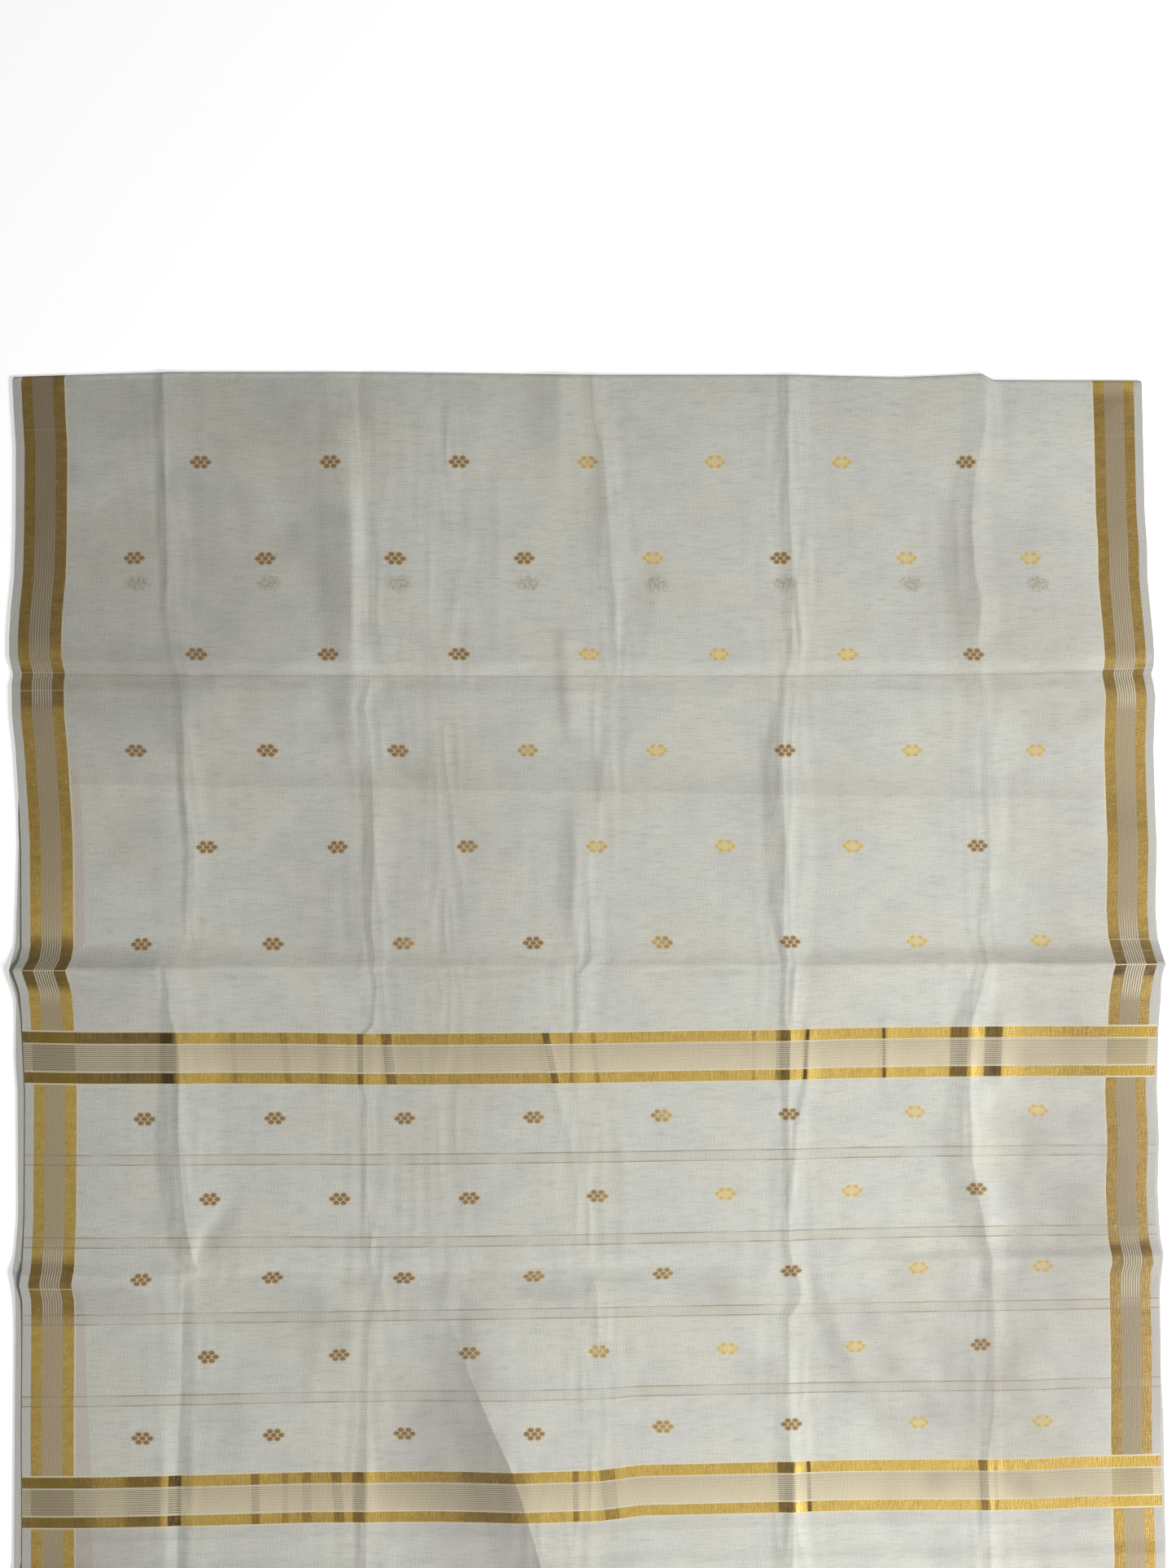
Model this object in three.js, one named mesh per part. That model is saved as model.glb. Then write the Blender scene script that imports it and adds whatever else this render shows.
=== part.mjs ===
// A silk-cotton saree with zari borders, folded in four along its length and laid flat, with its pallu uppermost.
//
// Millimetres, +Z up. X runs across the cloth from selvedge to selvedge. Y runs along it: the uppermost stretch
// starts at the top fold, at +Y, and ends in the free hemmed end of the pallu, at -Y. The origin is the middle of
// the underside, which rests on a table.
//
// "across" is a place on the flat cloth, from its middle line, and "along" is the distance from the top fold. The
// creases of its shop folding still stand up in it: six panels across, and a panel of about 308 mm along.
import * as THREE from "three";
import { mergeVertices } from "three/addons/utils/BufferGeometryUtils.js";

// ---- The cloth
const CLOTH_WIDTH = 1170;
const CLOTH_LENGTH = 5500;
const STRETCHES = 4; // the cloth lies in four equal stretches, one on the other
const STRETCH_LENGTH = CLOTH_LENGTH / STRETCHES;
const WALL = 1.6; // the cloth as a wall
const SEAM_GAP = 0.3; // between two pieces of the cloth
const REST_HEIGHT = 5.2; // underside of the uppermost stretch, between its creases

// ---- What is woven into it
const SELVEDGE = 9;
const BORDER = 45.5; // a zari stripe, a ribbed middle and another zari stripe, with their edge lines
const BAND_DEPTH = 55;
const UPPER_BAND_FROM = 670;
const LOWER_BAND_FROM = 1121;
const HEM_DEPTH = 6;
const HEM_ROLL = 0.9; // how much thicker the rolled hem is than the cloth

const HALF_WIDTH = CLOTH_WIDTH / 2;
const FIELD_EDGE = HALF_WIDTH - SELVEDGE - BORDER;
const UPPER_BAND_TO = UPPER_BAND_FROM + BAND_DEPTH;
const LOWER_BAND_TO = LOWER_BAND_FROM + BAND_DEPTH;
const HEM_FROM = STRETCH_LENGTH - HEM_DEPTH;

// ---- The top fold, an oval bend over the ends of the lower stretches
const FOLD_REACH = 6; // how far the bend stands out past its centre
const FOLD_TURNS = [-65, -32, 0, 32, 62]; // degrees above level, from the tucked edge up

// ---- The lower stretches
const NEST_GAP = 0.7; // between them and the uppermost stretch
const NEST_SHARE = 0.6; // how much of a crease's height they share
const END_REACH = 12; // how far their lower fold stands out past the hem
const FOLD_TUCK = 1.5; // how far they reach into the top fold's bend

// Creases along the cloth. "at" is the place across where each one meets the stations below, in turn.
const CREASE_STATIONS = [0, 306, 609, 917, 1223, STRETCH_LENGTH];
const LONG_CREASES = [
  { name: "first", at: [-425, -424, -423, -421, -421, -421] },
  { name: "second", at: [-228, -230, -223, -219, -233, -233] },
  { name: "slanting", at: [-112, -114, -118, -169, -47, -42] },
  { name: "third", at: [4, -13, -8, -6, -10, -10] },
  { name: "fourth", at: [215, 212, 200, 206, 205, 205] },
  { name: "fifth", at: [417, 415, 395, 408, 405, 405] },
];
// How high each one stands at these places along it, and how quickly it falls away to either side.
const RISE_STATIONS = [0, 153, 457, 763, 1070, 1299];
const LONG_RISES = [
  { name: "first", rise: [5, 5, 3.5, 5.5, 4, 3.5], spread: 14 },
  { name: "second", rise: [3.5, 4, 5.5, 3, 3, 3], spread: 16 },
  { name: "slanting", rise: [0, 0, 0, 0, 5, 7], spread: 20 },
  { name: "third", rise: [3, 5, 4, 3, 3, 3], spread: 20 },
  { name: "fourth", rise: [5, 5, 6.5, 5, 3.5, 5], spread: 16 },
  { name: "fifth", rise: [5, 4, 3.5, 6, 4, 4], spread: 20 },
];
// Creases across the cloth, with their heights at the left selvedge, the middle and the right one.
const CROSS_CREASES = [
  { along: 306, left: 8, middle: 3, right: 8, spread: 20 },
  { along: 609, left: 15, middle: 5.5, right: 14, spread: 22 },
  { along: 917, left: 12, middle: 4.5, right: 13, spread: 22 },
  { along: 1223, left: 8, middle: 4, right: 8, spread: 22 },
];
// How the cloth lies: where its selvedges are, across, and the slope of its weft.
const LIE = [
  { along: 0, left: -590, right: 570, slope: 0 },
  { along: 120, left: -587, right: 574, slope: 0 },
  { along: 266, left: -592, right: 580, slope: 0 },
  { along: 306, left: -592, right: 584, slope: 0 },
  { along: 346, left: -591, right: 583, slope: 0 },
  { along: 440, left: -586, right: 583, slope: -0.001 },
  { along: 569, left: -583, right: 586, slope: -0.004 },
  { along: 609, left: -592, right: 594, slope: -0.005 },
  { along: 649, left: -583, right: 590, slope: -0.005 },
  { along: 763, left: -579, right: 587, slope: -0.01 },
  { along: 877, left: -582, right: 591, slope: -0.013 },
  { along: 917, left: -588, right: 594, slope: -0.015 },
  { along: 957, left: -583, right: 588, slope: -0.015 },
  { along: 1121, left: -584, right: 592, slope: -0.018 },
  { along: 1223, left: -581, right: 593, slope: -0.018 },
  { along: STRETCH_LENGTH, left: -582, right: 592, slope: -0.018 },
];
// The top fold isn't quite straight: how far it stands out at places across. This fades over the first stretch.
const FOLD_LINE = [
  { across: -HALF_WIDTH, out: -1 },
  { across: -425, out: 4 },
  { across: -228, out: 4 },
  { across: 4, out: 1 },
  { across: 215, out: 1 },
  { across: 330, out: -1.5 },
  { across: 417, out: 2 },
  { across: 429, out: -4.5 },
  { across: HALF_WIDTH, out: -5 },
];
const FOLD_LINE_FADE = 100;
// The edge of the lower stretches, up from the table: how far each level stands out past the uppermost stretch on
// each side. Each stretch is an edge of two levels, and a groove lies between one and the next.
const STACK_LEVELS = [
  { level: 0, left: -1.5, right: -1, fold: -1, end: -10 },
  { level: 0.27, left: -1, right: 0, fold: 0, end: -9 },
  { level: 0.32, left: -8, right: -8, fold: -2, end: -16 },
  { level: 0.37, left: 1.5, right: 1, fold: 0, end: -2.5 },
  { level: 0.63, left: 2, right: 1.5, fold: 0, end: 0 },
  { level: 0.68, left: -6, right: -6, fold: -1, end: 0.6 },
  { level: 0.73, left: 4.5, right: 4, fold: 0, end: 0 },
  { level: 1, left: 5, right: 4.5, fold: -1, end: -3 },
];
const STACK_SPREAD_FROM = 150; // the lower stretches lie true near the top fold and spread further down
const STACK_SPREAD_TO = 800;

// ---- Grid lines, beside each crease
const PANEL_SHARES = [0, 0.06, 0.2, 0.8, 0.94]; // of the way across a panel, from one long crease to the next
const CROSS_STEPS = [13, 40];
const FINEST_ROW = 110;
const NEAREST_ROW = 4;

// ---- Colours
const COTTON = new THREE.MeshStandardMaterial({ color: 0xd6d7cf, roughness: 0.85 });
const ZARI_BORDER = new THREE.MeshStandardMaterial({ color: 0xa88745, roughness: 0.45, metalness: 0.6 });
const ZARI_BAND = new THREE.MeshStandardMaterial({ color: 0xc9a656, roughness: 0.42, metalness: 0.6 });

const { clamp, degToRad, lerp, smoothstep } = THREE.MathUtils;

// The value at x of the broken line through (xs[i], ys[i]).
function brokenLine(xs, ys, x) {
  const past = xs.findIndex((edge) => x < edge);
  const i = past < 0 ? xs.length - 1 : Math.max(past, 1);
  const share = clamp((x - xs[i - 1]) / (xs[i] - xs[i - 1]), 0, 1);
  return lerp(ys[i - 1], ys[i], share);
}

// The same, from two named columns of a table.
function tableValue(rows, from, to, x) {
  return brokenLine(rows.map((row) => row[from]), rows.map((row) => row[to]), x);
}

const creasePlace = (crease, v) => brokenLine(CREASE_STATIONS, crease.at, v);

// How far the creases lift the cloth at a place on it. Each one is a sharp ridge that falls away to both sides.
function creaseLift(u, v) {
  let lift = 0;
  LONG_CREASES.forEach((crease, i) => {
    const { rise, spread } = LONG_RISES[i];
    lift += brokenLine(RISE_STATIONS, rise, v) * Math.exp(-Math.abs(u - creasePlace(crease, v)) / spread);
  });
  for (const { along, left, middle, right, spread } of CROSS_CREASES) {
    const rise = brokenLine([-HALF_WIDTH, 0, HALF_WIDTH], [left, middle, right], u);
    lift += rise * Math.exp(-Math.abs(v - along) / spread);
  }
  return lift;
}

const underside = (u, v) => REST_HEIGHT + creaseLift(u, v);
const stackTop = (u, v) => REST_HEIGHT - NEST_GAP + NEST_SHARE * creaseLift(u, v);

// Where a place on the cloth lies on the table.
function lies(u, v) {
  const left = tableValue(LIE, "along", "left", v);
  const right = tableValue(LIE, "along", "right", v);
  const slope = tableValue(LIE, "along", "slope", v);
  const foldOut = tableValue(FOLD_LINE, "across", "out", u) * clamp(1 - v / FOLD_LINE_FADE, 0, 1);
  const x = lerp(left, right, (u + HALF_WIDTH) / CLOTH_WIDTH);
  return new THREE.Vector2(x, STRETCH_LENGTH / 2 - v - slope * u + foldOut);
}

// A closed body from points and faces.
class Body {
  constructor() {
    this.points = [];
    this.faces = [];
  }
  point(x, y, z) {
    return this.points.push(x, y, z) / 3 - 1;
  }
  quad(a, b, c, d) {
    this.faces.push(a, b, c, a, c, d);
  }
  mesh(name, material) {
    const geometry = new THREE.BufferGeometry();
    geometry.setAttribute("position", new THREE.Float32BufferAttribute(this.points, 3));
    geometry.setIndex(this.faces);
    const made = new THREE.Mesh(mergeVertices(geometry), material);
    made.geometry.computeVertexNormals();
    made.name = name;
    return made;
  }
}

// The rim of a grid of rows and columns, as index pairs, anticlockwise seen from above: rows run down the cloth.
function rimOf(rows, columns) {
  const rim = [];
  for (let i = 0; i < rows; i++) rim.push([i, 0]);
  for (let j = 0; j < columns; j++) rim.push([rows, j]);
  for (let i = rows; i > 0; i--) rim.push([i, columns]);
  for (let j = columns; j > 0; j--) rim.push([0, j]);
  return rim;
}

// A wall of cloth between two grids of the same size, outer above inner.
function wallBetween(outer, inner) {
  const body = new Body();
  const add = (grid) => grid.map((row) => row.map(([x, y, z]) => body.point(x, y, z)));
  const [above, below] = [add(outer), add(inner)];
  const rows = above.length - 1;
  const columns = above[0].length - 1;
  for (let i = 0; i < rows; i++) {
    for (let j = 0; j < columns; j++) {
      body.quad(above[i][j], above[i + 1][j], above[i + 1][j + 1], above[i][j + 1]);
      body.quad(below[i][j], below[i][j + 1], below[i + 1][j + 1], below[i + 1][j]);
    }
  }
  const rim = rimOf(rows, columns);
  rim.forEach(([i, j], k) => {
    const [p, q] = rim[(k + 1) % rim.length];
    body.quad(above[i][j], below[i][j], below[p][q], above[p][q]);
  });
  return body;
}

// The lines that run along the field, from border to border. Each is a function of the distance along it, because
// they follow the creases.
function fieldLines() {
  const creases = LONG_CREASES.map((crease) => (v) => creasePlace(crease, v));
  const edges = [() => -FIELD_EDGE, ...creases, () => FIELD_EDGE];
  const panels = edges.slice(1).map((to, i) => ({ from: edges[i], to }));
  const lines = panels.flatMap(({ from, to }) => PANEL_SHARES.map((share) => (v) => lerp(from(v), to(v), share)));
  return [...lines, edges.at(-1)];
}

// The same lines, held between two places across the cloth, with the outer two exactly there.
function linesBetween(from, to, inside) {
  const lines = [() => from + SEAM_GAP / 2];
  for (const line of inside) if (line(0) > from + 1 && line(0) < to - 1) lines.push(line);
  lines.push(() => to - SEAM_GAP / 2);
  return lines;
}

// Places along the cloth between two ends, with steps beside each crease.
function rowsBetween(from, to) {
  const sides = CROSS_STEPS.flatMap((step) => [step, -step]);
  const marks = CROSS_CREASES.flatMap(({ along }) => [0, ...sides].map((step) => along + step));
  const inside = marks.filter((v) => v > from + NEAREST_ROW && v < to - NEAREST_ROW);
  const ends = [from, ...inside, to].sort((a, b) => a - b);
  const rows = [];
  for (let i = 0; i + 1 < ends.length; i++) {
    const steps = Math.ceil((ends[i + 1] - ends[i]) / FINEST_ROW);
    for (let k = 0; k < steps; k++) rows.push(lerp(ends[i], ends[i + 1], k / steps));
  }
  return [...rows, to];
}

// Outer and inner points of one row of the top fold, turned by an angle from level.
function foldPoints(lines, degrees) {
  const turn = degToRad(degrees);
  const made = { outer: [], inner: [] };
  for (const line of lines) {
    const u = line(0);
    const centre = lies(u, FOLD_REACH);
    const half = (underside(u, FOLD_REACH) + WALL) / 2;
    const place = (side, shrink) => {
      const reach = (FOLD_REACH - shrink) * Math.cos(turn);
      made[side].push([centre.x, centre.y + reach, half + (half - shrink) * Math.sin(turn)]);
    };
    place("outer", 0);
    place("inner", WALL);
  }
  return made;
}

// A piece of the uppermost stretch, between two places along the cloth.
function stretchPiece(name, material, lines, from, to, { folded = false, roll = 0 } = {}) {
  const outer = [];
  const inner = [];
  const start = folded ? FOLD_REACH : from + SEAM_GAP / 2;
  const finish = to < STRETCH_LENGTH ? to - SEAM_GAP / 2 : to;
  if (folded) {
    for (const turn of FOLD_TURNS) {
      const points = foldPoints(lines, turn);
      outer.push(points.outer);
      inner.push(points.inner);
    }
  }
  for (const v of rowsBetween(start, finish)) {
    const at = (raise) => lines.map((line) => {
      const u = line(v);
      const { x, y } = lies(u, v);
      return [x, y, underside(u, v) + raise];
    });
    outer.push(at(WALL + roll));
    inner.push(at(0));
  }
  return wallBetween(outer, inner).mesh(name, material);
}

// The lower three stretches as one body, with an edge for each and a flat underside. Its grid is that of the
// cloth above it, so the two stay the same distance apart.
function foldedLayers() {
  const body = new Body();
  const across = [() => -HALF_WIDTH, ...fieldLines(), () => HALF_WIDTH];
  const ends = [FOLD_REACH, UPPER_BAND_FROM, UPPER_BAND_TO, LOWER_BAND_FROM, LOWER_BAND_TO, STRETCH_LENGTH];
  const down = [FOLD_REACH - FOLD_TUCK];
  for (let i = 0; i + 1 < ends.length; i++) down.push(...rowsBetween(ends[i], ends[i + 1]).slice(0, -1));
  down.push(STRETCH_LENGTH, STRETCH_LENGTH + END_REACH);
  const [rows, columns] = [down.length - 1, across.length - 1];

  const place = (i, j, row) => {
    const spread = smoothstep(down[i], STACK_SPREAD_FROM, STACK_SPREAD_TO);
    const sideways = (out) => out * (out > 0 ? spread : 1);
    const v = down[i] - (i === 0 ? row.fold : 0) + (i === rows ? row.end : 0);
    const out = (j === columns ? sideways(row.right) : 0) - (j === 0 ? sideways(row.left) : 0);
    const u = across[j](v) + out;
    const { x, y } = lies(u, v);
    return body.point(x, y, row.level * stackTop(u, v));
  };

  const rim = rimOf(rows, columns);
  const rings = STACK_LEVELS.map((row) => rim.map(([i, j]) => place(i, j, row)));
  for (let k = 0; k + 1 < rings.length; k++) {
    rim.forEach((_, n) => {
      const next = (n + 1) % rim.length;
      body.quad(rings[k + 1][n], rings[k][n], rings[k][next], rings[k + 1][next]);
    });
  }
  const top = down.map(() => []);
  rim.forEach(([i, j], n) => (top[i][j] = rings.at(-1)[n]));
  for (let i = 1; i < rows; i++) {
    for (let j = 1; j < columns; j++) top[i][j] = place(i, j, STACK_LEVELS.at(-1));
  }
  for (let i = 0; i < rows; i++) {
    for (let j = 0; j < columns; j++) body.quad(top[i][j], top[i + 1][j], top[i + 1][j + 1], top[i][j + 1]);
  }
  const foot = rings[0].map((n) => new THREE.Vector2(body.points[3 * n], body.points[3 * n + 1]));
  for (const [a, b, c] of THREE.ShapeUtils.triangulateShape(foot, [])) {
    body.faces.push(rings[0][a], rings[0][c], rings[0][b]);
  }
  return body.mesh("folded_layers", COTTON);
}

// The uppermost stretch: its field and two borders between the bands, the bands right across, and the hem.
const middle = fieldLines();
const leftLines = linesBetween(-HALF_WIDTH - SEAM_GAP / 2, -FIELD_EDGE, [() => -HALF_WIDTH + SELVEDGE]);
const fieldOnly = linesBetween(-FIELD_EDGE, FIELD_EDGE, middle);
const rightLines = linesBetween(FIELD_EDGE, HALF_WIDTH + SEAM_GAP / 2, [() => HALF_WIDTH - SELVEDGE]);
const allLines = linesBetween(-HALF_WIDTH - SEAM_GAP / 2, HALF_WIDTH + SEAM_GAP / 2, middle);

const saree = new THREE.Group();
const PLAIN_STRETCHES = [
  { name: "body", from: 0, to: UPPER_BAND_FROM, folded: true },
  { name: "pallu", from: UPPER_BAND_TO, to: LOWER_BAND_FROM },
  { name: "pallu_end", from: LOWER_BAND_TO, to: HEM_FROM },
];
for (const { name, from, to, folded } of PLAIN_STRETCHES) {
  saree.add(stretchPiece(name + "_left_border", ZARI_BORDER, leftLines, from, to, { folded }));
  saree.add(stretchPiece(name + "_field", COTTON, fieldOnly, from, to, { folded }));
  saree.add(stretchPiece(name + "_right_border", ZARI_BORDER, rightLines, from, to, { folded }));
}
saree.add(stretchPiece("upper_band", ZARI_BAND, allLines, UPPER_BAND_FROM, UPPER_BAND_TO));
saree.add(stretchPiece("lower_band", ZARI_BAND, allLines, LOWER_BAND_FROM, LOWER_BAND_TO));
saree.add(stretchPiece("end_hem", COTTON, allLines, HEM_FROM, STRETCH_LENGTH, { roll: HEM_ROLL }));
saree.add(foldedLayers());

// The origin goes to the middle of the underside.
const box = new THREE.Box3().setFromObject(saree);
saree.position.set(-(box.min.x + box.max.x) / 2, -(box.min.y + box.max.y) / 2, -box.min.z);

export default saree;
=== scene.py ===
# %% [markdown]
# # A white saree with gold borders, folded in four and laid flat
#
# A saree is one woven length of cloth, about five and a half metres long and a little over a metre wide. This
# lesson dresses a plain model of one that has been folded in four and spread on a table. The cloth is built
# as two open, paper-thin sheets: the stretch on top, which is seen, and the three stretches under it, which
# show only at their edges. The pattern isn't drawn on a picture. Every point of the cloth remembers how far
# across and along the weave it is, and the materials work the pattern out from those two numbers.

import math

import bpy
import numpy as np
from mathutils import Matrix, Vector, noise


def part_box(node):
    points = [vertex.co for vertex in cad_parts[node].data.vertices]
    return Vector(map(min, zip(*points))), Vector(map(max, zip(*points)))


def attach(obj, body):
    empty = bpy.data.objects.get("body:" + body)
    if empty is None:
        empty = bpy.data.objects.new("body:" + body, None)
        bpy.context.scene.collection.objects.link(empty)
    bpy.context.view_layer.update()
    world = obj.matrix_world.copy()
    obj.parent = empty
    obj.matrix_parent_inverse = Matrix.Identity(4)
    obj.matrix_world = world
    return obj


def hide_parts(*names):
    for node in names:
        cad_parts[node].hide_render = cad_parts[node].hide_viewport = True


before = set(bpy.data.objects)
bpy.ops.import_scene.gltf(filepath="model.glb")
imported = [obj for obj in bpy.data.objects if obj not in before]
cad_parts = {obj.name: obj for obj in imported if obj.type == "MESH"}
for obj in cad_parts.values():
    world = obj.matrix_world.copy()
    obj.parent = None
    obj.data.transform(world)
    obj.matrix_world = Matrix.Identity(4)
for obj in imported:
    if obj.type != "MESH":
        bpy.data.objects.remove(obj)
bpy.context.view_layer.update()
MM = 0.001


# %% [markdown]
# ## Where the cloth lies
#
# All the sizes below are in millimetres. `across` runs from -585 at the left selvedge, the woven edge, to 585
# at the right one, and `along` from 0 at the top fold to 1375 at the hem. On the table the selvedges waver,
# because each fold across the cloth pulls it a little to the side. A table of stations, with straight steps
# between them, is enough for that: cloth that has been folded is straight between its folds. These stations
# were measured on a real folded saree.

# %% Sizes of the cloth
HALF_WIDTH = 585
LENGTH = 1375
STRETCHES = 4
UPPER_BAND = 670
LOWER_BAND = 1121

# along, left selvedge
LEFT_EDGE = [(0, -592), (41, -590), (74, -588), (158, -588.5), (208, -590), (242, -593.5), (267, -595),
             (288, -595), (300, -592.8), (307, -591), (317, -592.5), (350, -592), (384, -588.5),
             (417, -586.5), (450, -584.3), (482, -582.7), (585, -582), (598, -584.3), (605, -588),
             (609, -590.5), (618, -588), (625, -585.5), (634, -583.5), (655, -582), (730, -578.5),
             (860, -579), (893, -580.5), (913, -581.5), (920, -583), (927, -584.2), (933, -583), (943, -581),
             (1067, -582), (1375, -581)]
# along, right selvedge
RIGHT_EDGE = [(0, 570), (74, 571.5), (141, 573), (175, 575.5), (208, 575.8), (242, 579), (267, 581.5),
              (290, 583), (300, 582), (307, 579.8), (317, 582), (330, 584), (384, 582), (451, 584),
              (484, 585.5), (551, 584), (580, 586), (595, 590), (602, 592), (608, 594), (612, 592.4),
              (618, 590.8), (629, 589), (642, 587), (665, 585.8), (740, 582.3), (791, 584.8), (842, 583.1),
              (893, 585.6), (910, 589), (919, 590), (931, 587.3), (953, 587.3), (1012, 589), (1113, 589),
              (1214, 592.3), (1375, 592)]
# along, slope of the weft
SLOPE = [(0, 0), (346, 0), (440, -0.001), (609, -0.005), (763, -0.010), (917, -0.015), (1121, -0.018),
         (1375, -0.018)]

# across, how far the top fold stands out
FOLD_LINE = np.array([(-585, -1), (-425, 4), (-228, 4), (4, 1), (215, 1), (330, -1.5), (417, 2), (429, -4.5),
                      (585, -5)])
FOLD_LINE_FADE = 100

# The middle of the cloth lies a little to the right of the middle between its selvedges
MIDDLE_SHIFT = 8

# across, how far the weft stands off its straight line at the upper band and at the lower one
WEFT_WAVE = np.array([(-585, 1, -0.4), (-510, -0.4, -0.9), (-400, -1, -0.5), (-300, -2, 0.8),
                      (-250, -3.3, 0.3), (-170, -4, -0.7), (-85, -4, -3.5), (0, -3.8, -2.8), (45, -3.4, 2),
                      (100, -2.9, 2.1), (190, -2.6, 2.8), (250, -1.3, 3.2), (330, -0.7, 2.4), (400, -0.3, 1),
                      (450, -0.6, 0.6), (500, -1, 2.2), (585, -1.7, 1.5)])
# along, how much of each of these two waves there is
WAVE_SHARES = [(600, 0, 0), (665, 1, 0), (728, 1, 0), (763, 0.5, 0), (840, 0.8, 0), (917, 1, 0),
               (940, 0.2, 0), (1000, 0, 0.1), (1100, 0, 1), (1375, 0, 1)]


def read_off(rows, place, column=1):
    """A column of a table, read off at `place` with straight steps between its rows."""
    rows = np.array(rows, dtype=float)
    return np.interp(place, rows[:, 0], rows[:, column])


def lies(across, along, left_edge=LEFT_EDGE, right_edge=RIGHT_EDGE):
    """Where a point of the cloth lies on the table, in millimetres from the middle of the folded cloth."""
    left, right, slope = (read_off(rows, along) for rows in (left_edge, right_edge, SLOPE))
    x = left + (right - left) * (across + HALF_WIDTH) / (2 * HALF_WIDTH)
    x = x + MIDDLE_SHIFT * (1 - (across / HALF_WIDTH) ** 2)
    stands_out = np.interp(across, *FOLD_LINE.T) * np.clip(1 - along / FOLD_LINE_FADE, 0, 1)
    wave = sum(np.interp(across, WEFT_WAVE[:, 0], WEFT_WAVE[:, column]) * read_off(WAVE_SHARES, along, column)
               for column in (1, 2))
    return x, LENGTH / 2 - along - slope * across + stands_out + wave


# The plain model is centred on its own box, so two of its parts say where the middle of the cloth is.
PLAIN_LEFT_REACH = -592
PLAIN_BAND_REACH = 21.6
border_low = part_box("body_left_border")[0]
band_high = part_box("upper_band")[1]
SHIFT = (border_low.x / MM - PLAIN_LEFT_REACH, band_high.y / MM - PLAIN_BAND_REACH)
print("the cloth's middle, in millimetres from the model's:", [round(s, 2) for s in SHIFT])

# %% [markdown]
# ## Creases
#
# A pressed fold that has been opened again stays as a low roof: a steep straight face on one side of a sharp
# crest and a longer, softer fall on the other. Some are pressed the other way and make a gutter. Each crease
# wanders, fades and comes back, so each has its own table.
#
# The rows of the folds that run along the cloth were measured on a real folded saree, and a small program
# turned the measures into the millimetres below. Only their rises were guessed. Set by hand, five or so rows
# for a fold would be easier to read and to change.

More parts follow.
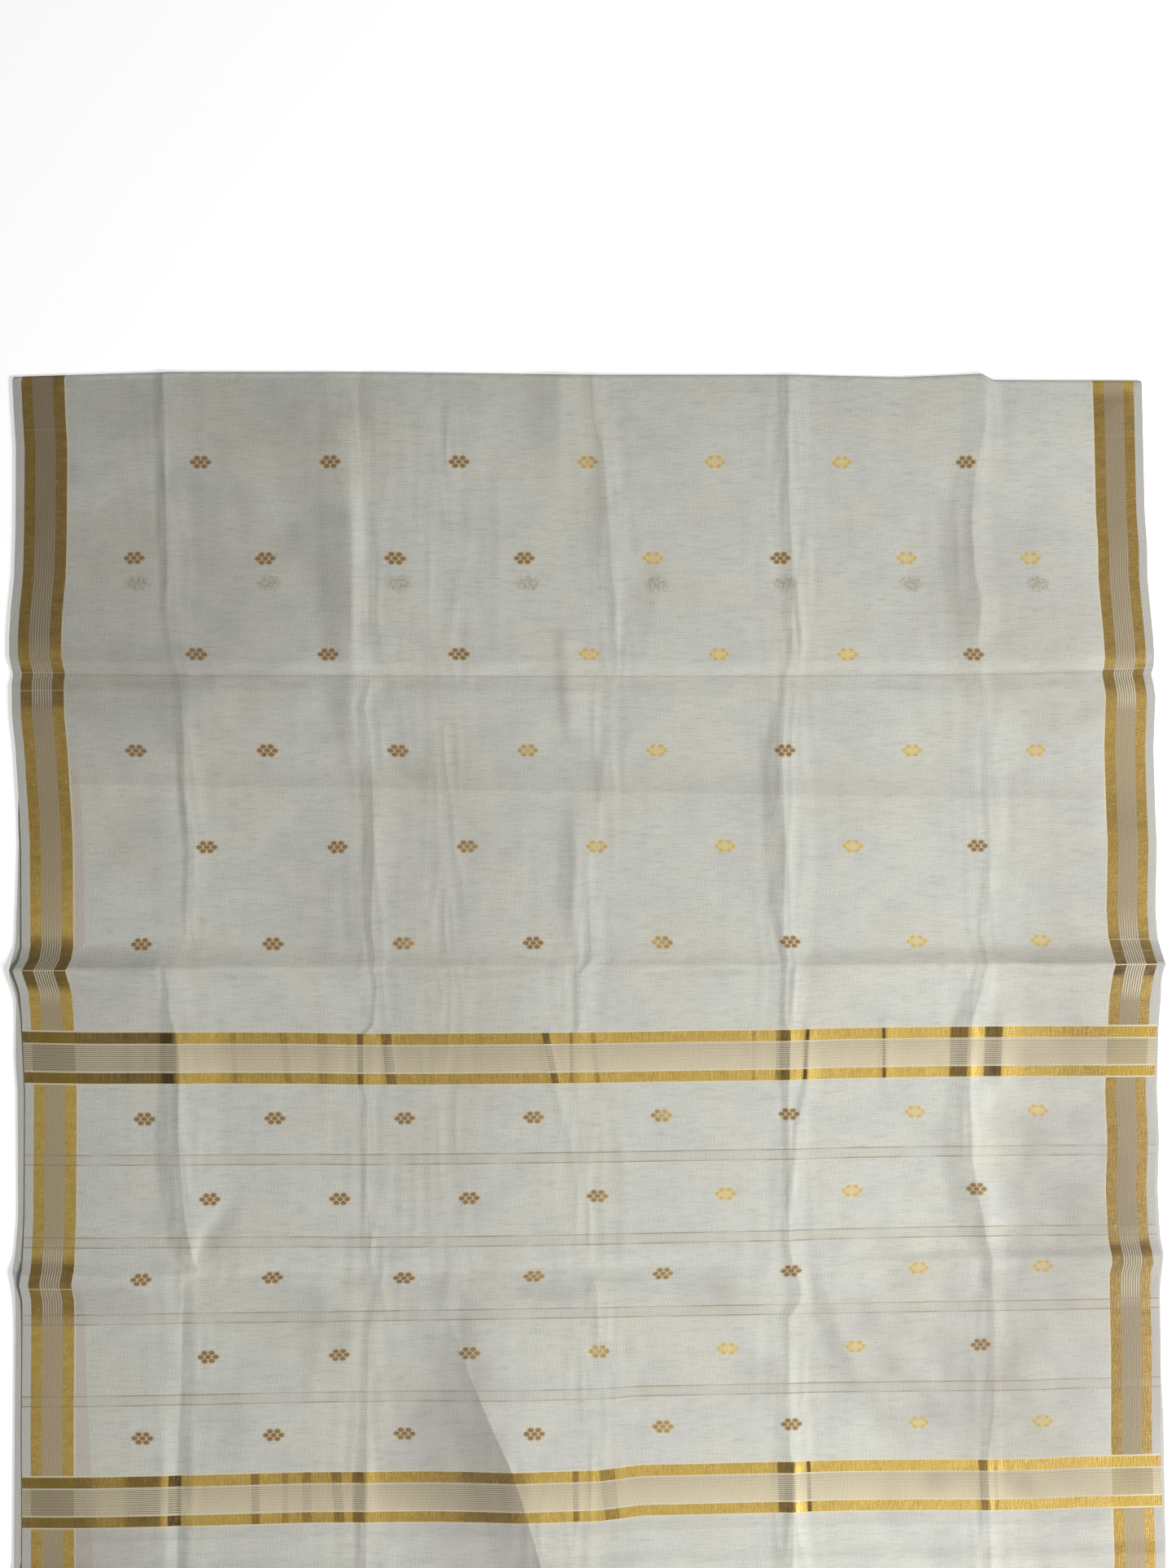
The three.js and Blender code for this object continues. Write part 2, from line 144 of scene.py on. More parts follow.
# %% Folds along the cloth
# Each row: along, crest or gutter, width of the left face, width of the right face, rise (below 0 for a
# gutter)
LONG_FOLDS = {
    "first": [
        (0, -433, 10, 17, 1.6), (33, -432, 11, 16, 1.6), (115, -433, 10, 15, 1.6), (200, -430, 9, 15, 1.5),
        (250, -427, 7, 15, 0.9), (285, -422, 7, 15, 0.6), (325, -415, 10, 17, 1.0), (367, -414, 11, 16, 1.4),
        (450, -416, 8, 15, 1.3), (490, -415, 7, 13, 1.1), (550, -419, 5, 11, 0.6), (585, -418, 5, 8, 0),
        (603, -434, 6, 10, 0), (615, -434, 5, 18, 0.9), (650, -436, 10, 26, 1.8), (675, -429, 18, 27, 2.6),
        (723, -429, 20, 26, 2.8), (780, -429, 25, 29, 3.3), (822, -426, 23, 27, 3.3),
        (863, -422, 23, 20, 3.0), (895, -414, 20, 12, 2.4), (913, -409, 12, 7, 1.2), (923, -416, 11, 10, 0),
        (933, -423, 12, 11, -1.2), (1045, -425, 12, 11, -1.4), (1112, -429, 8, 16, -1.8),
        (1375, -430, 9, 12, -1.5),
    ],
    "second": [
        (0, -234, 18, 18, -1.5), (65, -234, 17, 16, -1.3), (115, -232, 17, 13, -1.1),
        (250, -226, 15, 13, -1.0), (285, -223, 13, 12, -0.6), (302, -224, 10, 10, 0), (317, -224, 7, 8, 0.8),
        (342, -231, 7, 10, 0.8), (367, -226, 12, 11, 1.0), (410, -226, 12, 15, 1.6), (500, -228, 12, 15, 1.9),
        (542, -230, 10, 16, 1.7), (575, -230, 8, 12, 1.7), (605, -226, 7, 7, 0.9), (617, -224, 5, 6, 0.7),
        (663, -229, 5, 5, 0.7), (673, -240, 6, 12, 0.9), (725, -241, 6, 12, 0.9), (737, -237, 6, 8, 0.6),
        (825, -237, 6, 8, 0.6), (907, -231, 6, 11, 0.6), (932, -225, 8, 12, 0.6), (982, -235, 8, 12, 0.5),
        (1100, -237, 8, 12, 0.9), (1125, -237, 12, 12, 1.6), (1175, -238, 12, 12, 1.6),
        (1375, -242, 9, 11, 1.4),
    ],
    "slanting": [
        (0, -147, 13, 25, 0), (950, -158, 25, 40, 0), (983, -147, 31, 50, 0.5), (1025, -132, 38, 65, 1.5),
        (1067, -114, 41, 70, 2.4), (1118, -90, 51, 75, 3.0), (1168, -74, 48, 75, 3.0),
        (1225, -59, 44, 75, 2.8), (1375, -30, 44, 75, 2.4),
    ],
    "third": [
        (0, 7, 10, 14, 1.2), (50, 9, 12, 15, 1.0), (83, 18, 20, 13, 1.2), (150, 21, 23, 13, 1.6),
        (190, 23, 25, 10, 1.4), (233, 27, 8, 8, 0.8), (275, 25, 6, 8, 0.6), (295, 23, 5, 8, 0),
        (388, 8, 18, 10, 0), (410, 9, 18, 10, 1.0), (435, 7, 17, 12, 0.8), (455, 0, 12, 13, 0),
        (500, -8, 8, 11, 0.4), (535, -7, 8, 10, 0.8), (600, -7, 8, 10, 0.8), (615, -17, 6, 7, 0.7),
        (665, -19, 6, 8, 0.7), (680, -25, 5, 8, 0.4), (735, -20, 7, 8, 0.4), (920, -11, 8, 10, 0),
        (930, -2, 11, 10, 0.9), (985, 0, 13, 11, 0.8), (1002, -6, 11, 10, 0), (1375, -20, 7, 12, 0),
    ],
    "fourth": [
        (0, 212, 11, 13, 1.7), (50, 211, 11, 13, 1.5), (115, 209, 10, 14, 1.3), (225, 211, 13, 13, 1.3),
        (258, 209, 10, 12, 0.9), (275, 208, 6, 10, 1.2), (295, 206, 6, 10, 0.6), (317, 202, 7, 12, 0.4),
        (350, 199, 13, 14, 1.4), (385, 196, 20, 20, 2.6), (450, 195, 20, 19, 2.8), (500, 195, 20, 19, 2.8),
        (543, 194, 16, 18, 2.6), (577, 193, 10, 15, 2.2), (602, 194, 7, 12, 1.4), (615, 194, 6, 8, 1.0),
        (665, 194, 6, 8, 1.0), (673, 200, 12, 13, 1.9), (725, 199, 11, 14, 1.9), (737, 199, 8, 10, 1.2),
        (855, 198, 8, 9, 1.1), (913, 199, 8, 8, 0.9), (935, 209, 14, 8, 1.4), (955, 208, 12, 10, 1.2),
        (972, 196, 13, 13, 1.2), (1040, 196, 14, 13, 1.4), (1115, 197, 17, 15, 1.6), (1123, 200, 23, 12, 2.6),
        (1173, 199, 23, 13, 2.6), (1375, 195, 20, 15, 2.2),
    ],
    "fifth": [
        (0, 421, 29, 9, 1.4), (50, 418, 26, 10, 1.2), (100, 406, 21, 13, 1.2), (150, 401, 27, 15, 1.8),
        (200, 401, 31, 12, 2.0), (233, 408, 37, 11, 2.0), (275, 400, 31, 10, 1.6), (292, 404, 22, 10, 0.6),
        (325, 410, 7, 11, 0.6), (545, 408, 8, 10, 0.7), (595, 401, 10, 10, 0.6), (620, 398, 13, 12, 1.2),
        (640, 396, 18, 13, 2.0), (670, 388, 21, 14, 2.8), (725, 389, 22, 15, 2.8), (772, 389, 32, 17, 3.4),
        (805, 389, 32, 16, 3.4), (840, 396, 32, 15, 3.2), (875, 402, 31, 14, 3.0), (908, 406, 19, 11, 2.0),
        (930, 408, 8, 10, 1.0), (975, 411, 8, 10, 0.7), (1075, 409, 8, 10, 0.7), (1122, 403, 8, 10, 1.2),
        (1177, 402, 10, 10, 1.2), (1375, 406, 9, 9, 0.8),
    ],
}

# Short ones beside them, in rows of the same kind
SHORT_FOLDS = {
    "wedge_by_first": [
        (827, -362, 7, 15, 0), (847, -380, 7, 18, -1.2), (865, -393, 7, 23, -1.6), (880, -402, 6, 21, -1.8),
        (895, -408, 5, 16, -1.6), (913, -411, 4, 11, -0.8), (923, -415, 4, 10, 0),
    ],
    "broad_by_second": [
        (33, -245, 27, 10, 0), (65, -245, 33, 12, 1.2), (115, -244, 36, 12, 2.6), (200, -242, 36, 10, 3.2),
        (250, -240, 36, 10, 3.2), (275, -241, 34, 12, 2.4), (310, -242, 32, 12, 1.2),
        (350, -244, 20, 12, 1.2), (375, -245, 16, 12, 0.9), (410, -247, 13, 12, 0),
    ],
    "twin_of_second": [
        (660, -212, 10, 10, 0), (673, -213, 10, 10, 0.9), (725, -213, 10, 10, 0.9), (737, -222, 7, 10, 0.5),
        (825, -222, 7, 10, 0.4), (865, -222, 7, 10, 0),
    ],
    "low_twin_of_second": [
        (1182, -222, 10, 10, 0), (1200, -222, 10, 10, 0.6), (1375, -223, 10, 10, 0.6),
    ],
    "slant_below_wedge": [
        (930, -275, 15, 11, 0), (948, -277, 16, 12, 0.9), (998, -286, 15, 12, 1.0), (1040, -293, 13, 13, 0.8),
        (1065, -296, 13, 12, 0),
    ],
    "broad_by_third": [
        (0, -25, 35, 19, 2.2), (33, -28, 34, 20, 1.8), (83, -31, 26, 19, 0.8), (133, -34, 20, 17, 0),
    ],
    "thin_left_of_third": [
        (100, -94, 4, 6, 0), (115, -95, 4, 6, 0.4), (275, -95, 4, 6, 0.4), (292, -95, 4, 6, 0),
    ],
    "high_by_third": [
        (263, -26, 8, 16, 0), (270, -26, 8, 16, 1.2), (335, -27, 10, 17, 1.4), (355, -21, 17, 12, 1.4),
        (370, -21, 15, 12, 0),
    ],
    "low_by_third": [
        (438, -27, 13, 13, 0), (460, -25, 14, 13, 1.2), (500, -23, 18, 12, 1.8), (535, -24, 17, 10, 1.8),
        (568, -23, 13, 8, 1.4), (605, -22, 10, 8, 0),
    ],
    "bent_line": [
        (665, -49, 7, 6, 0), (673, -49, 7, 6, 0.8), (690, -56, 6, 8, 0.8), (725, -44, 10, 7, 1.0),
        (775, -31, 8, 7, 0.5), (800, -27, 8, 7, 0),
    ],
    "fan_line": [
        (760, 18, 5, 7, 0), (785, 24, 6, 6, 0.5), (820, 28, 5, 7, 0.5), (870, 26, 5, 7, 0.5),
        (915, 24, 5, 7, 0.4), (927, 24, 5, 7, 0),
    ],
    "high_by_fourth": [
        (150, 227, 5, 7, 0), (165, 225, 5, 7, 0.6), (200, 221, 5, 7, 0.6), (215, 216, 5, 7, 0.3),
        (233, 216, 5, 7, 0.9), (275, 219, 5, 7, 0.9), (292, 218, 5, 7, 0),
    ],
    "twin_of_fourth": [
        (605, 203, 6, 9, 0), (615, 202, 6, 9, 1.0), (660, 202, 6, 9, 1.0), (670, 202, 6, 9, 0),
    ],
    "curve_by_fourth": [
        (652, 218, 5, 7, 0), (672, 218, 5, 7, 1.0), (728, 218, 5, 8, 1.2), (770, 207, 5, 8, 1.0),
        (855, 200, 6, 8, 0.6), (870, 198, 6, 8, 0),
    ],
    "slant_by_fourth": [
        (922, 229, 13, 13, 0), (947, 236, 15, 17, 1.4), (990, 249, 20, 20, 1.8), (1032, 268, 21, 23, 1.8),
        (1075, 305, 25, 24, 1.5), (1105, 322, 25, 25, 0),
    ],
    "thin_in_band": [
        (653, 297, 4, 7, 0), (668, 298, 4, 7, 0.9), (725, 299, 5, 6, 0.9), (742, 299, 5, 6, 0),
    ],
    "twin_of_fifth": [
        (650, 420, 23, 13, 0), (672, 421, 23, 13, 2.2), (725, 422, 23, 13, 2.2), (743, 422, 23, 13, 0),
    ],
}

# Folds across the cloth. Each row: across, place along, width above, width below, rise
CROSS_FOLDS = {
    "upper": [
        (-585, 306, 8, 16, -2.2), (-530, 307, 8, 17, -2.2), (-300, 307, 8, 17, -2.2), (-40, 308, 8, 17, -2.2),
        (0, 308, 8, 18, -1.8), (400, 306, 8, 18, -1.7), (480, 304, 9, 18, -1.8), (585, 300, 9, 18, -2.2),
    ],
    "middle": [
        (-585, 609, 22, 30, 3.6), (-520, 609, 24, 30, 3.4), (-430, 609, 28, 32, 3.4),
        (-370, 609, 24, 28, 2.2), (-230, 609, 14, 25, 1.0), (0, 611, 9, 25, 0.8), (200, 609, 12, 30, 1.0),
        (240, 608, 18, 30, 2.3), (400, 608, 18, 28, 2.4), (500, 608, 20, 30, 2.8), (585, 608, 22, 30, 3.2),
    ],
    "middle_groove": [
        (-400, 611, 5, 8, 0), (-360, 611, 5, 8, -0.6), (200, 611, 5, 8, -0.6), (240, 611, 5, 8, 0),
    ],
    "lower": [
        (-585, 917, 14, 30, 3.2), (-480, 918, 12, 28, 2.4), (-420, 918, 10, 25, 0.8),
        (-380, 917, 9, 26, -1.2), (-230, 916, 9, 30, -2.1), (-100, 915, 9, 30, -2.0), (80, 914, 9, 26, -1.5),
        (200, 914, 8, 20, 0.4), (290, 913, 7, 25, 1.0), (480, 912, 9, 28, 1.8), (585, 911, 14, 30, 3.0),
    ],
    "lowest": [
        (-585, 1223, 14, 24, 2.6), (-480, 1223, 12, 24, 1.6), (480, 1223, 12, 24, 1.6),
        (585, 1223, 14, 24, 2.6),
    ],
}
print(len(LONG_FOLDS), "long folds,", len(SHORT_FOLDS), "short ones and", len(CROSS_FOLDS), "across")

# %% [markdown]
# ## From tables to heights
#
# One function turns a table into a roof or a gutter. The light comes from the right and from below, so one
# side of each crease is in the shade. That side is straight and takes one even tone, and the lit side is
# spread wider and eases out into the cloth. A wide, low swell round each crease keeps it from standing like a
# wire under the cloth.

# %% Height of the creases
SWELL_REACH = 38
SWELL_SHARE = 0.3
LIT_SPREAD = 1.7
LIT_EASE = 1.3


# Columns of a fold's table, after the place along it
CREST, LEFT_FACE, RIGHT_FACE, RISE = 1, 2, 3, 4


def fold_height(rows, place, run):
    """Height of one fold, where `run` measures along it and `place` measures across it."""
    columns = (CREST, LEFT_FACE, RIGHT_FACE, RISE)
    crest, left, right, rise = (read_off(rows, run, column) for column in columns)
    away = place - crest
    gutter = rise < 0
    left_face = np.clip(1 + away / (left * np.where(gutter, LIT_SPREAD, 1)), 0, 1)
    right_face = np.clip(1 - away / (right * np.where(gutter, 1, LIT_SPREAD)), 0, 1)
    lit = np.where(gutter, away < 0, away > 0)
    roof = rise * np.where(away < 0, left_face, right_face) ** np.where(lit, LIT_EASE, 1)
    swell = np.abs(rise) * SWELL_SHARE * np.exp(-np.abs(away) / SWELL_REACH)
    return roof, swell


def crease_heights(across, along):
    """The sharp part and the soft part of all the creases, in millimetres."""
    sharp = np.zeros_like(across)
    soft = np.zeros_like(across)
    for rows in [*LONG_FOLDS.values(), *SHORT_FOLDS.values()]:
        roof, swell = fold_height(rows, across, along)
        sharp += roof
        soft += swell
    for rows in CROSS_FOLDS.values():
        roof, swell = fold_height(rows, along, across)
        sharp += roof
        soft += swell
    return sharp, soft


# %% [markdown]
# Cloth between creases is never a flat plate either. A slow noise gives it low hollows and swells a hand
# wide, and a finer one the small unevenness of thin cloth. Both come from fixed functions, so each run gives
# the same.

# %% Slow unevenness of the cloth
# swell across, swell along, height
HOLLOWS = [(170, 240, 0.8), (62, 90, 0.3), (24, 15, 0.16)]
# Crinkles beside the folds: swell across, swell along, height at the fold, how far they reach from it
LONG_CRINKLES = (13, 70, 0.5, 42)
CROSS_CRINKLES = (60, 12, 0.4, 26)
CRINKLE_SINKS = 0.6
CRINKLE_LAYER = 7.5


def smooth_noise(across, along, layer):
    """A fixed noise from about -1 to 1 at each point of the grid."""
    values = [noise.noise(Vector((a, b, layer))) for a, b in zip(across.ravel(), along.ravel())]
    return np.array(values).reshape(across.shape)


def unevenness(across, along):
    """Low swells and hollows, and crinkles that gather beside the folds, in millimetres."""
    total = np.zeros_like(across)
    for layer, (swell_across, swell_along, height) in enumerate(HOLLOWS):
        total += height * smooth_noise(across / swell_across, along / swell_along, layer)
    for tables, place, run, crinkle in ((LONG_FOLDS, across, along, LONG_CRINKLES),
                                        (CROSS_FOLDS, along, across, CROSS_CRINKLES)):
        nearest = np.min([np.abs(place - read_off(rows, run)) for rows in tables.values()], axis=0)
        ridges = 1 - 2 * np.abs(smooth_noise(across / crinkle[0], along / crinkle[1], CRINKLE_LAYER))
        total += crinkle[2] * (ridges - CRINKLE_SINKS) * np.exp(-nearest / crinkle[3])
    return total


# %% [markdown]
# ## Painted shades
#
# These are painted shades: they darken the cloth towards the top left, where less light falls on it,
# beside several creases and left of the slanting fold, where it turns from the light, and in part where
# the sheer cloth has less cloth below it. They are soft and have no clear shape. Painting them in the
# material would take a node or ten for each, so their strength is worked out here, once, for every point
# of the mesh.

# %% Painted shades
# across, along, half width, half length, lean, strength
PAINTED_SHADES = [(-430, 20, 270, 150, 0, 0.14), (-430, 240, 190, 140, 0, 0.22), (-500, 330, 110, 70, 0, 0.14),
          (460, 240, 140, 120, 0, 0.13), (500, 560, 90, 200, 0, 0.13), (520, 780, 120, 240, 0, 0.15),
          (500, 1010, 170, 260, 0, 0.28), (350, 1030, 130, 120, 0.3, 0.1), (-170, 640, 110, 380, 0, 0.1),
          (-510, 640, 80, 36, 0, 0.14), (-510, 944, 80, 22, 0, 0.2), (-510, 1200, 80, 45, 0, 0.2),
          (-125, 940, 130, 30, 0, 0.08), (-270, 540, 70, 80, 0, 0.1), (-268, 190, 34, 140, 0.19, 0.12),
          (-50, 35, 25, 50, -0.1, 0.06), (8, 150, 20, 45, 0, 0.06), (385, 200, 26, 95, -0.05, 0.12),
          (-255, 355, 14, 48, 0, 0.14), (-25, 330, 9, 50, 0, 0.14), (-25, 505, 11, 75, 0, 0.14),
          (8, 420, 13, 30, 0, 0.14), (-185, 405, 20, 22, 0.4, 0.12), (-470, 480, 42, 48, 0, 0.12),
          (-300, 965, 65, 26, 0, 0.1), (-272, 1000, 16, 62, -0.2, 0.12), (-135, 1000, 20, 48, 0.2, 0.1),
          (130, 940, 20, 36, 0.2, 0.12), (-45, 942, 38, 11, 0, 0.1), (-470, 40, 52, 32, 0, 0.1),
          (-300, 55, 62, 46, 0, 0.08), (60, 225, 15, 44, -0.15, 0.1), (180, 420, 15, 85, 0, 0.1),
          (-370, 1060, 20, 60, 0.1, 0.08), (270, 1010, 60, 90, 0.6, 0.1), (-386, 880, 24, 34, 0, 0.1),
          (500, 342, 80, 44, 0, 0.08), (-150, 1100, 70, 130, 0, 0.14), (366, 1110, 90, 90, 0, 0.1),
          (165, 1035, 34, 34, 0, 0.12), (107, 945, 34, 24, 0, 0.1), (-490, 601, 60, 18, 0, 0.12),
          (500, 1200, 70, 60, 0, 0.1)]
# across, strength of the painted shade just above the crease in the middle
CREASE_SHADE = [(-585, 0.3), (-420, 0.2), (-300, 0.12), (0, 0.1), (300, 0.14), (420, 0.24), (585, 0.3)]
CREASE_SHADE_PLACE, CREASE_SHADE_REACH = 607, 26
# along, strength of the painted shade left of the slanting fold, partly where less cloth lies below
SLANT_SHADE = [(950, 0), (1000, 0.08), (1060, 0.22), (1110, 0.32), (1200, 0.32), (1375, 0.26)]
SLANT_SHADE_REACH = 150
# A shade is even up to this share of its reach, then fades out over the next
SHADE_CORE, SHADE_FADE, SHADE_EASE = 0.45, 0.8, 1.3
SHADE_MOST = 0.5
# How ragged its edge is: amount, swell across, swell along, layer of the noise
RAGGED = (0.35, 23, 31, 12.5)


def painted_shade_strength(across, along):
    """How dark the painted shades are at each point, from 0 to 1."""
    total = np.zeros_like(across)
    amount, swell_across, swell_along, layer = RAGGED
    ragged = 1 + amount * smooth_noise(across / swell_across, along / swell_along, layer)
    for place, run, half_width, half_length, lean, strength in PAINTED_SHADES:
        down = along - run
        away = np.hypot((across - place - down * lean) / half_width, down / half_length) * ragged
        total += strength * (1 - np.clip((away - SHADE_CORE) / SHADE_FADE, 0, 1)) ** SHADE_EASE
    above = CREASE_SHADE_PLACE - along
    near = np.where(above > 0, np.clip(1 - above / CREASE_SHADE_REACH, 0, 1), 0)
    total += read_off(CREASE_SHADE, across) * near
    left_of_slant = read_off(LONG_FOLDS["slanting"], along) - across
    near = np.where(left_of_slant > 0, np.clip(1 - left_of_slant / SLANT_SHADE_REACH, 0, 1), 0)
    total += read_off(SLANT_SHADE, along) * near
    return np.clip(total, 0, SHADE_MOST)


print(len(PAINTED_SHADES), "soft shades")

# %% [markdown]
# ## The grid of the top stretch
#
# A sharp crest needs a row of edges that runs along it, or it comes out as a saw. So the columns of the grid
# follow the six long folds, crowd together beside them and spread out in the middle of the panels. The rows
# crowd the same way round the folds across. This keeps the mesh small where nothing happens.

# %% Columns that follow the folds
COLUMNS_PER_PANEL = [44, 58, 42, 52, 58, 58, 38]
CROWDING = 0.62
ROW_STATIONS = [0, 306, 609, 917, 1223, 1375]
ROWS_PER_PANEL = [60, 60, 62, 54, 18]
TURN_AT = 6


def crowded(count):
    """Shares from 0 up to 1, without the last, that crowd towards both ends."""
    even = np.arange(count) / count
    return even - CROWDING * np.sin(2 * math.pi * even) / (2 * math.pi)


def top_grid():
    """Across and along for every point of the flat part of the top stretch."""
    along = [TURN_AT]
    for start, end, count in zip(ROW_STATIONS, ROW_STATIONS[1:], ROWS_PER_PANEL):
        along += [a for a in start + (end - start) * crowded(count) if a > TURN_AT]
    along = np.array(along + [LENGTH])
    edges = [np.full_like(along, -HALF_WIDTH)]
    edges += [read_off(rows, along) for rows in LONG_FOLDS.values()]
    edges.append(np.full_like(along, HALF_WIDTH))
    columns = []
    for left, right, count in zip(edges, edges[1:], COLUMNS_PER_PANEL):
        columns += [left + (right - left) * share for share in crowded(count)]
    across = np.array(columns + [edges[-1]]).T
    return across, np.repeat(along[:, None], across.shape[1], axis=1)


across, along = top_grid()
print("top stretch:", across.shape[0], "rows of", across.shape[1], "points")

# %% [markdown]
# ## Building the top stretch
#
# The sheet rests on three thin layers, goes round the whole bundle at the top fold in half an oval, and comes
# back a little way underneath, where the lowest layer takes over. Folded cloth is springy in the middle and
# pressed thin at its folds and edges, so all heights shrink there together. The mesh carries the weave
# coordinates as a point attribute called `cloth`: across, along and how strong the painted shade is there.

# %% Heights of the layers and the bend
LAYER_HEIGHTS = [4.2, 2.5, 0.8]
TOP_HEIGHT = 6.6
LEAST_ABOVE_LAYER = 0.45
EDGE_KEEPS = 0.4
EDGE_REACH = 90
LAYERS_FOLLOW = 0.5
RIDGES_FOLLOW = 0.85
TURN_ANGLES = np.radians([12, 26, 40, 54, 68, 80, 90, 100, 112, 126, 140, 154, 168, 180])
TUCK = 40
RETURN_INSET = 4


def pressed(across, along):
    """The share of its height that the bundle keeps at a point."""
    inward = np.minimum(HALF_WIDTH - np.abs(across), np.minimum(along, LENGTH - along))
    share = np.clip(inward / EDGE_REACH, 0, 1)
    return EDGE_KEEPS + (1 - EDGE_KEEPS) * share * (2 - share)


def layer_height(number, across, along):
    """Height of a lower layer, which follows the creases above it more weakly the deeper it lies."""
    share = (LAYER_HEIGHTS[number] - LAYER_HEIGHTS[-1]) / (TOP_HEIGHT - LAYER_HEIGHTS[-1])
    swell = crease_heights(across, along)[1] * LAYERS_FOLLOW * share
    ridges = sum(np.maximum(fold_height(rows, along, across)[0], 0) for rows in CROSS_FOLDS.values())
    return LAYER_HEIGHTS[number] * pressed(across, along) + swell + ridges * RIDGES_FOLLOW * share ** 0.5


def sheet_mesh(name, x, y, z, cloth):
    """A mesh of quads through a grid of points, with the weave coordinates on its points."""
    rows, columns = x.shape
    points = np.stack([x + SHIFT[0], y + SHIFT[1], z], axis=-1).reshape(-1, 3) * MM
    index = np.arange(rows * columns).reshape(rows, columns)
    quads = np.stack([index[:-1, :-1], index[1:, :-1], index[1:, 1:], index[:-1, 1:]], axis=-1).reshape(-1, 4)
    mesh = bpy.data.meshes.new(name)
    mesh.from_pydata(points.tolist(), [], quads.tolist())
    mesh.polygons.foreach_set("use_smooth", np.ones(len(mesh.polygons), dtype=bool))
    weave = mesh.attributes.new("cloth", "FLOAT_VECTOR", "POINT")
    weave.data.foreach_set("vector", np.stack(cloth, axis=-1).reshape(-1).astype(np.float32))
    mesh.update()
    piece = bpy.data.objects.new(name, mesh)
    bpy.context.scene.collection.objects.link(piece)
    print(name, "has", len(mesh.polygons) * 2, "triangles")
    return piece


sharp, soft = crease_heights(across, along)
kept = pressed(across, along)
height = (TOP_HEIGHT + unevenness(across, along)) * kept + sharp + soft
height = np.maximum(height, layer_height(0, across, along) + LEAST_ABOVE_LAYER * kept)
x, y = lies(across, along)

turn_x, turn_y = x[0], y[0]
rim_y = lies(across[0], np.zeros_like(across[0]))[1]
tuck_height = layer_height(2, across[0], np.full_like(turn_x, TURN_AT + TUCK))
low = tuck_height * EDGE_KEEPS
middle = (height[0] + low) / 2
half_height = (height[0] - low) / 2
turn = []
for angle in TURN_ANGLES:
    inset = 1 - RETURN_INSET / HALF_WIDTH * (1 - math.cos(angle)) / 2
    out = turn_y + (rim_y - turn_y) * math.sin(angle)
    turn.append((turn_x * inset, out, middle + half_height * math.cos(angle), TURN_AT - half_height * angle))
turn.append((turn[-1][0], turn_y - TUCK, tuck_height, turn[-1][3] - TUCK))
turn.reverse()

x = np.vstack([[row[0] for row in turn], x])
y = np.vstack([[row[1] for row in turn], y])
height = np.vstack([[row[2] for row in turn], height])
along_all = np.vstack([[row[3] for row in turn], along])
across_all = np.vstack([np.repeat(across[:1], len(turn), axis=0), across])
# painted shade for every point of the sheet, none on the bend
painted_shade = np.vstack([np.zeros((len(turn), across.shape[1])), painted_shade_strength(across, along)])
top_stretch = sheet_mesh("top_stretch", x, y, height, (across_all, along_all, painted_shade))

# %% [markdown]
# ## The three stretches underneath
#
# They lie in a zigzag: back from the top fold, round at the hem end, forward, round inside the top fold, and
# back to the far end of the cloth. Their selvedges don't quite meet those of the top stretch, so slivers of
# them show, mostly on the left below the middle crease. One strip with two bends is all that needs.

# %% The zigzag of the lower layers
LOWER_COLUMNS = 110
# along, left selvedge of the layer just under the top one
UNDER_LEFT = [(0, -588), (306, -589), (417, -585), (450, -586), (483, -585.4), (520, -586.5), (583, -588.5),
              (597, -592), (605, -594), (612, -595.5), (619, -593.5), (626, -591), (633, -589), (641, -587.7),
              (700, -588.5), (730, -586.5), (860, -585.8), (893, -588.5), (905, -590.2), (913, -592),
              (927, -589.5), (943, -588.5), (1067, -589.4), (1192, -590.2), (1375, -589)]
# along, right selvedge of it
UNDER_RIGHT = [(0, 568), (306, 578), (420, 582), (575, 584), (595, 588.5), (608, 592.5), (622, 590),
               (643, 589.8), (670, 587.5), (740, 585.7), (791, 588), (842, 586.4), (893, 589), (910, 592.3),
               (925, 591), (945, 589), (1040, 590), (1080, 592.3), (1214, 594.8), (1375, 594)]
LAYER_STEPS = [(0, 0), (2.2, -2.0), (1.0, -0.8)]
INNER_TURN = 16
END_TURN = 1384
BACK_END = 1372
LOWER_ROWS = 170


def lower_layer(number, shares, start, end, from_along):
    """One flat run of the zigzag, from `start` to `end` along the table."""
    place = start + (end - start) * shares[:, None] + np.zeros(LOWER_COLUMNS)
    u = HALF_WIDTH * np.sin(np.linspace(-math.pi / 2, math.pi / 2, LOWER_COLUMNS)) + np.zeros_like(place)
    step_left, step_right = LAYER_STEPS[number]
    run_x, run_y = lies(u, place, UNDER_LEFT, UNDER_RIGHT)
    run_x = run_x + step_left + (step_right - step_left) * (u + HALF_WIDTH) / (2 * HALF_WIDTH)
    run_v = from_along + np.abs(place - start)
    return run_x, run_y, layer_height(number, u, place), u, run_v


def bend(before, after, reach, steps=5):
    """Half an oval from the last row of one run to the first row of the next."""
    rows = []
    for step in range(1, steps):
        angle = math.pi * step / steps
        share = (1 - math.cos(angle)) / 2
        row = [b[-1] + (a[0] - b[-1]) * share for b, a in zip(before, after)]
        row[1] = row[1] + reach * math.sin(angle)
        rows.append(row)
    return [np.array([row[part] for row in rows]) for part in range(5)]


